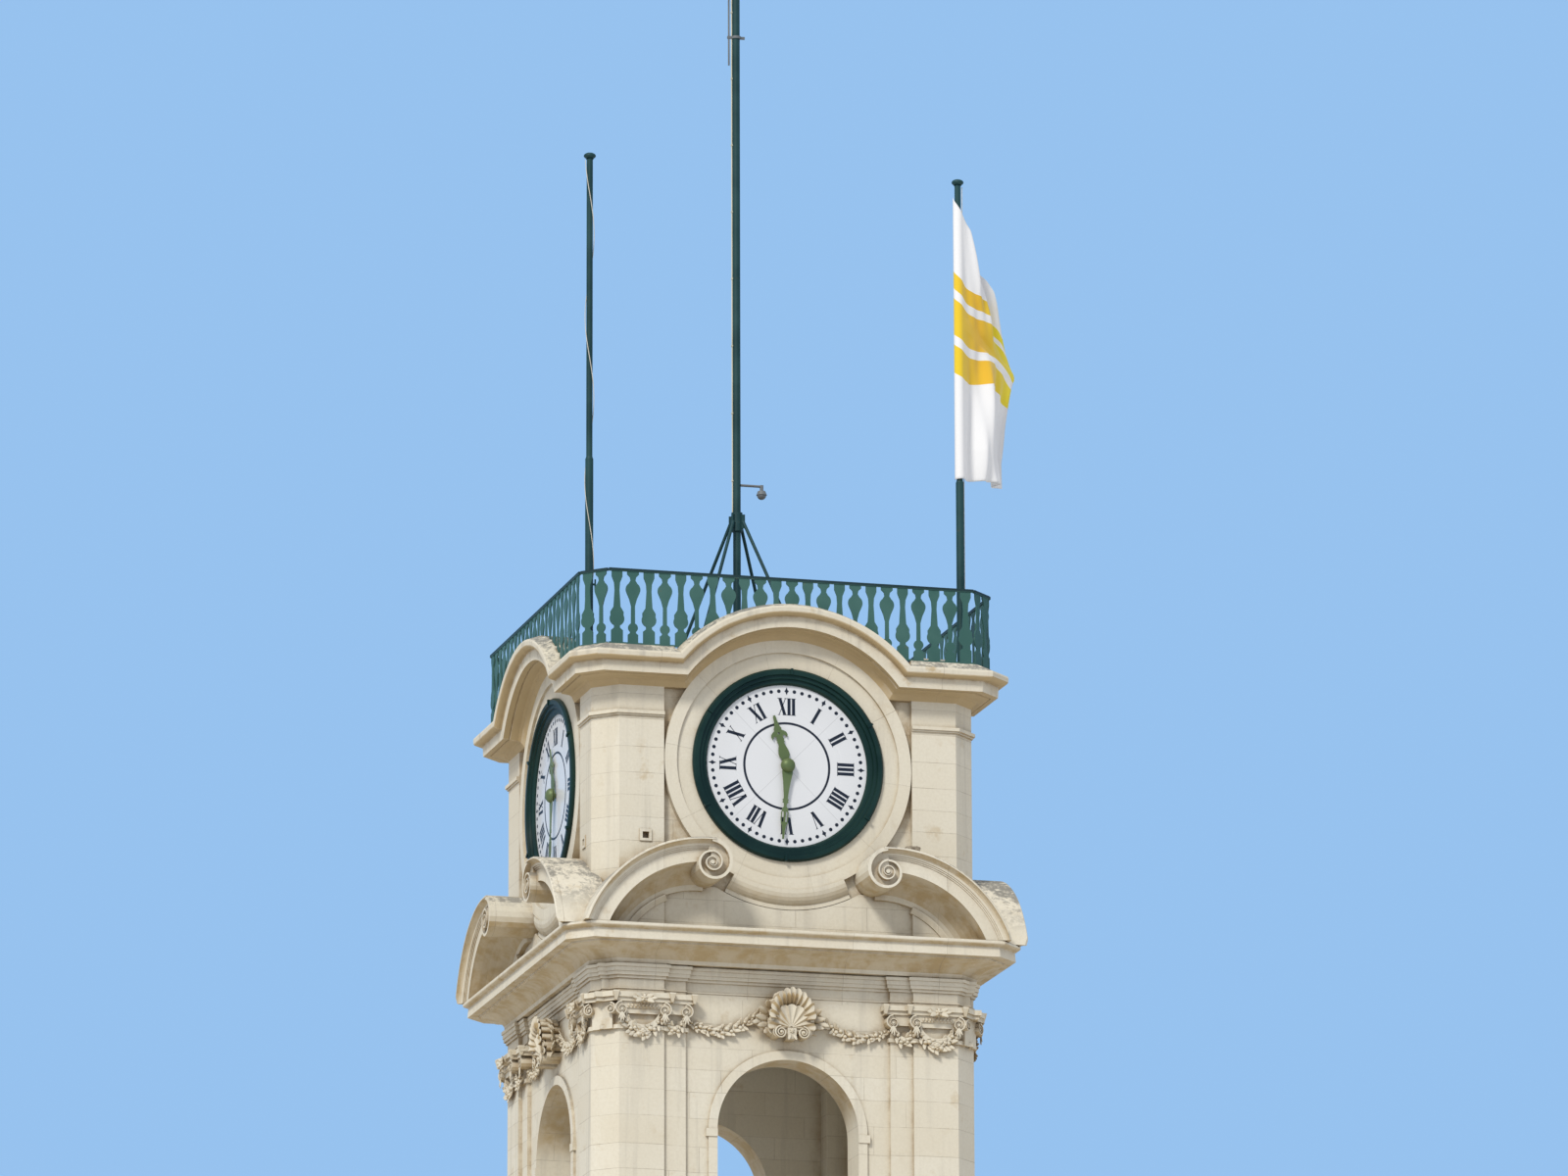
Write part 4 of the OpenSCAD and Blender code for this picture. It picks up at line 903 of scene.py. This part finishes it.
def fluted_sheet(name, hinge_z, half_w, high, flutes, spread, back, front, bowl, ridge):
    """A scallop shell that opens upwards from its hinge."""
    nothing_selected()
    bpy.ops.mesh.primitive_grid_add(x_subdivisions=flutes * 8, y_subdivisions=14, size=1)
    piece = bpy.context.object
    piece.name = name
    for vertex in piece.data.vertices:
        u, v = vertex.co.x + 0.5, vertex.co.y + 0.5
        angle = math.radians(spread) * (2 * u - 1)
        hollow = abs(math.sin(math.pi * flutes * u))
        out = back + (front - back) * min(1, v / bowl) ** 2
        out += ridge * (1 - hollow) ** 1.4 * min(1, 1.6 * v)
        far = (0.925 + 0.085 * hollow ** 0.6 * v) * (0.06 + 0.94 * v)
        vertex.co = (half_w * far * math.sin(angle), -out, hinge_z + high * far * math.cos(angle))
    thicken(piece, 0.007, offset=1)
    with edit_mode():
        bpy.ops.mesh.normals_make_consistent(inside=False)
    bpy.ops.object.shade_smooth_by_angle(angle=math.radians(40))
    return piece


# The hood's lining is dark with dirt and painted shade.
hood = fluted_sheet("front_shell_hood", hinge_z=HOOD_Z, half_w=0.184, high=0.252, flutes=11, spread=88,
                    back=WALL_Y + 0.039, front=WALL_Y + 0.137, bowl=0.80, ridge=0.013)
settle_on_each_face(hood, hood_dirt_and_shade)
carving.append(fluted_sheet("shell_fan", hinge_z=FAN_Z, half_w=0.186, high=0.176, flutes=9, spread=99,
                            back=WALL_Y + 0.092, front=WALL_Y + 0.107, bowl=1.0, ridge=0.012))

# %% [markdown]
# Beside the shell a roll of stone winds in to its eye on each side, under a spray of leaves. The
# roll is a curve with a round section that thins out, made a mesh at the end.

# %% Sprays and scrolls beside the shell
ROLL_X, ROLL_Z, ROLL_POINTS = 0.088, FAN_Z - 0.044, 48
ROLL_R, ROLL_THICK, ROLL_TURNS = 0.047, 0.0085, 2.2
# The leaves of a spray: turn, how far aside and how high over the hinge, and length.
SPRAY = ((-40, 0.120, 0.170, 0.085), (-48, 0.166, 0.120, 0.085), (36, 0.148, 0.105, 0.070),
         (60, 0.170, 0.060, 0.095), (82, 0.176, 0.020, 0.105), (104, 0.170, -0.020, 0.100),
         (112, 0.205, 0.015, 0.110), (128, 0.150, -0.050, 0.080))


def scroll_roll(side):
    """A roll of stone that winds in to its eye, thinner as it goes."""
    spine = bpy.data.curves.new("scroll_roll", "CURVE")
    spine.dimensions = "3D"
    spine.bevel_depth = ROLL_THICK
    spine.bevel_resolution = 2
    spine.use_fill_caps = True
    line = spine.splines.new("POLY")
    line.points.add(ROLL_POINTS - 1)
    for point, t in zip(line.points, np.linspace(0, 1, ROLL_POINTS)):
        a = side * 2 * math.pi * ROLL_TURNS * t
        r = ROLL_R * (1 - 0.86 * t)
        point.co = (side * ROLL_X + r * math.sin(a), -WALL_Y - 0.122 - 0.012 * t, ROLL_Z + r * math.cos(a), 1)
        point.radius = 1 - 0.45 * t
    piece = bpy.data.objects.new("scroll_roll", spine)
    bpy.context.collection.objects.link(piece)
    take(piece)
    bpy.ops.object.convert(target="MESH")
    bpy.ops.object.shade_smooth()
    return bpy.context.object


for side in (-1, 1):
    carving.append(scroll_roll(side))
    for turn, aside, low, length in SPRAY:
        carve(leaf, (side * aside, -PANEL_Y - 0.060, HOOD_Z + low), (0.050, 0.10, length), side * turn, tip=8)
    carve(fruit, (side * 0.200, -PANEL_Y - 0.040, HOOD_Z + 0.028), (0.040, 0.034, 0.040))
    carve(fruit, (side * ROLL_X, -WALL_Y - 0.132, ROLL_Z), (0.024, 0.024, 0.024))
    carve(leaf, (side * 0.012, -WALL_Y - 0.118, FAN_Z - 0.056), (0.026, 0.05, 0.050), side * 156)
flower(0, -WALL_Y - 0.122, FAN_Z - 0.030, 0.021)
settle_on_each_face(join("front_shell_carving", carving), carved)
for blank in (leaf, horn, petal, fruit):
    bpy.data.objects.remove(blank)

# %% [markdown]
# ## A broken stone
#
# On the right arc of the front pediment lies what is left of a stone that broke off above. Its foot
# must follow the arc, so a ray is sent straight down on the solid to find how high the arc is. It
# is dark brown, darker than the stone round it, so it has a finish of its own.

# %% Broken stone
STONE_BACK, STONE_FRONT, BEDDED = WALL_Y + 0.18, WALL_Y + 0.32, 0.002
FOOT = (0.845, 0.900, 0.950)
HEAD = ((0.961, 0.036), (0.930, 0.045), (0.872, 0.043), (0.842, 0.036))


def arc_top(x):
    """How high the front pediment is at x, a little behind its front edge."""
    above = Vector((x, -STONE_FRONT, CLOCK_Z - 0.3))
    return nodes["pediments"].ray_cast(above, Vector((0, 0, -1)))[1].z


arc_z = arc_top(FOOT[1])
outline = [(x, arc_top(x) - BEDDED) for x in FOOT] + [(x, arc_z + high) for x, high in HEAD]
stone = cut_out(outline, STONE_BACK, STONE_FRONT)
with edit_mode():
    bpy.ops.mesh.bevel(offset=0.004, segments=2)
dark_brown_stone = Finish("limestone_blackened", roughness=0.9)
mottle = dark_brown_stone.noise(30, 6, 0.7)
dark_brown_stone.set("Base Color", dark_brown_stone.mix(mottle.step(0.4, 0.6), (0.17, 0.135, 0.095), (0.36, 0.31, 0.235)))
dark_brown_stone.bump(mottle, 0.5, 0.004)
settle(join("broken_stone", [stone]), dark_brown_stone)
print(f"arc {arc_z:.3f} m high under the broken stone")

# %% [markdown]
# ## The flag
#
# It is a tall banner of thin cloth, held along its hoist, in so little wind that its free top
# corner has dropped. Its hoist lies at the left of the pole, and the cloth passes in front of the
# pole before it drifts away to the right and back. The cloth is a grid. Each row keeps its real
# length: where its two ends come closer than that, the row takes it up in folds. The folds slant
# down and away from the top of the hoist, where the whole weight hangs. They deepen away from the
# pole, and ease off at the free edge.
#
# The pattern on it is plain: three gold and yellow waves on white.

# %% Folds of the flag
FLAG_W, FLAG_H, FLAG_THICK = 0.90, 2.27, 0.0012
POLE_R, POLE_AT = 0.031, Vector((1.475, -1.15))
FLAG_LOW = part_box("flag")[0].z + 0.025
DRIFT = math.radians(42)
WRAP_R = POLE_R + 0.006
WRAP_START, WRAP_END = math.radians(172), math.radians(312)
WRAP = WRAP_R * (WRAP_END - WRAP_START)
FREE_EDGE = np.array([(0.40, 1.58), (0.765, 0.98), (0.66, 0.56), (0.615, 0.26), (0.63, 0.065)])
COLUMNS, ROWS = 64, 150
DEEPEST_FOLD, HALVINGS = 0.13, 20


def free_end(down):
    """The free edge's place, out from the pole and up, at a share of its length from the top."""
    steps = np.concatenate([[0], np.cumsum(np.linalg.norm(np.diff(FREE_EDGE, axis=0), axis=1))])
    at = down * steps[-1]
    return np.interp(at, steps, FREE_EDGE[:, 0]), np.interp(at, steps, FREE_EDGE[:, 1])


def ripple(turns):
    return np.sin(2 * math.pi * turns)


def flag_row(down, depth):
    """Points along a row of the flag, down from its top, with folds of the given depth."""
    reach, free_z = free_end(down)
    hoist_z = FLAG_H * (1 - down)
    share = np.linspace(0, 1, COLUMNS + 1)
    path = share * (WRAP + reach)
    turn = WRAP_START + np.minimum(path, WRAP) / WRAP_R
    beyond = np.maximum(path - WRAP, 0)
    lean = 0.55 * down + 0.12 * np.sin(5 * down)
    small = 0.30 * ripple(3.3 * share + 0.9 * down) + 0.16 * ripple(6.1 * share - 1.4 * down)
    fold = (ripple(1.25 * share ** 1.2 - lean) + small) * depth
    fold *= np.clip(beyond / 0.18, 0, 1) ** 1.5 * (1 - 0.45 * share ** 4)
    x = POLE_AT.x + WRAP_R * np.cos(turn) + beyond * math.cos(DRIFT) + fold * math.sin(DRIFT)
    y = POLE_AT.y + WRAP_R * np.sin(turn) + beyond * math.sin(DRIFT) - fold * math.cos(DRIFT)
    z = FLAG_LOW + hoist_z + (free_z - hoist_z) * share
    return np.stack([x, y, z], axis=1)


def full_length_row(down):
    """The row with folds just so deep that it has the cloth's full width."""
    low, high = 0.0, DEEPEST_FOLD
    for _ in range(HALVINGS):
        middle = (low + high) / 2
        length = np.linalg.norm(np.diff(flag_row(down, middle), axis=0), axis=1).sum()
        low, high = (middle, high) if length < FLAG_W else (low, middle)
    return flag_row(down, low)


print(f"cloth laid {WRAP * 1000:.0f} mm round the pole")

# %% Flag cloth
nothing_selected()
bpy.ops.mesh.primitive_grid_add(x_subdivisions=COLUMNS, y_subdivisions=ROWS, size=1, calc_uvs=True)
flag = bpy.context.object
flag.name = "flag_cloth"
places = np.concatenate([full_length_row(1 - row / ROWS) for row in range(ROWS + 1)])
for vertex, place in zip(flag.data.vertices, places):
    vertex.co = place
bpy.ops.object.shade_smooth()
print("cloth area", round(sum(p.area for p in flag.data.polygons), 3), "of", round(FLAG_W * FLAG_H, 3))

# %% [markdown]
# The pattern is laid on the cloth's own UV map, so that it folds with the cloth. A wave is a
# band between two sine lines. The weave is a fine crossing of two wave textures in the bump.

# %% Flag finish
BANDS = ((0.40, 0.50), (0.535, 0.665), (0.70, 0.76))
cloth = Finish("flag_polyester", roughness=0.75,
               **{"Sheen Weight": 0.25, "Sheen Roughness": 0.5, "Specular IOR Level": 0.25})
cloth.point = cloth.node("TexCoord", out="UV")
across, upward, _ = cloth.place()
line = upward + (across * 5.5 + 0.6).sine() * 0.035
waves = 0.0
for low, high in BANDS:
    waves = (line > low) * (line < high) + waves
tint = cloth.node("ValToRGB", {0: across * 0.8 + upward * 0.3}, stops=[
    (0.0, (0.80, 0.62, 0.02)), (0.5, (0.78, 0.46, 0.03)), (1.0, (0.80, 0.70, 0.04))])
base = cloth.mix(cloth.noise(3, 3) * 0.25, (0.83, 0.83, 0.835), (0.72, 0.73, 0.76))
hem = (across > 0.97).most(upward < 0.01).most(upward > 0.99)
base = cloth.mix(hem * 0.25, base, (0.62, 0.62, 0.63))
cloth.set("Base Color", cloth.mix(waves, base, tint))
weft = cloth.node("TexWave", {"Vector": cloth.point, "Scale": 130.0}, bands_direction="X")
warp = cloth.node("TexWave", {"Vector": cloth.point, "Scale": 380.0}, bands_direction="Y")
cloth.bump(weft * warp, 0.15, 0.0008)
thicken(flag, FLAG_THICK)
settle(flag, cloth)
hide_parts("flag")
print(len(BANDS), "waves on the flag")

# %% [markdown]
# ## Stage
#
# A plain pale floor under the tower, a sky-coloured background and soft light. The sun lamp is
# wide, so that its shadows have soft edges as in a studio. It stands where the sun stood: high, to
# the left of the camera. What the camera, a gloss or a pane sees is the background's colour, and
# what lights the stone is a paler one.

# %% Floor and sun
nothing_selected()
bpy.ops.mesh.primitive_circle_add(vertices=96, radius=30, fill_type="NGON", location=(0, 0, -0.002))
floor = bpy.context.object
floor.name = "studio_floor"
plain = Finish("studio_floor_grey", colour=(0.80, 0.79, 0.76), roughness=0.95)
floor.data.materials.append(plain.material)

bpy.ops.object.light_add(type="SUN", location=(-20, -30, 40))
sun = bpy.context.object
sun.name = "key_sun"
sun.data.energy = 2.35
sun.data.angle = math.radians(12)
sun.data.color = (1.0, 0.965, 0.90)
sun.rotation_euler = Vector((0.62, 0.72, -0.80)).to_track_quat("-Z", "Y").to_euler()
print(f"sun {math.degrees(sun.data.angle):.0f} degrees wide")

# %% Background
world = bpy.data.worlds.new("studio_world")
bpy.context.scene.world = world
world.use_nodes = True
tree = world.node_tree
daylight = tree.nodes["Background"]
daylight.inputs["Color"].default_value = (0.86, 0.88, 0.93, 1)
daylight.inputs["Strength"].default_value = 0.74
backdrop = tree.nodes.new("ShaderNodeBackground")
backdrop.inputs["Color"].default_value = (0.31, 0.54, 0.86, 1)
backdrop.inputs["Strength"].default_value = 1.0
path = tree.nodes.new("ShaderNodeLightPath")
seen = path.outputs["Is Camera Ray"]
for ray in ("Is Glossy Ray", "Is Transmission Ray"):
    either = tree.nodes.new("ShaderNodeMath")
    either.operation = "MAXIMUM"
    tree.links.new(seen, either.inputs[0])
    tree.links.new(path.outputs[ray], either.inputs[1])
    seen = either.outputs[0]
choose = tree.nodes.new("ShaderNodeMixShader")
tree.links.new(seen, choose.inputs[0])
tree.links.new(daylight.outputs[0], choose.inputs[1])
tree.links.new(backdrop.outputs[0], choose.inputs[2])
tree.links.new(choose.outputs[0], tree.nodes["World Output"].inputs["Surface"])
bpy.context.scene.view_settings.view_transform = "Standard"
print(len(tree.links), "links in the world")

# %% [markdown]
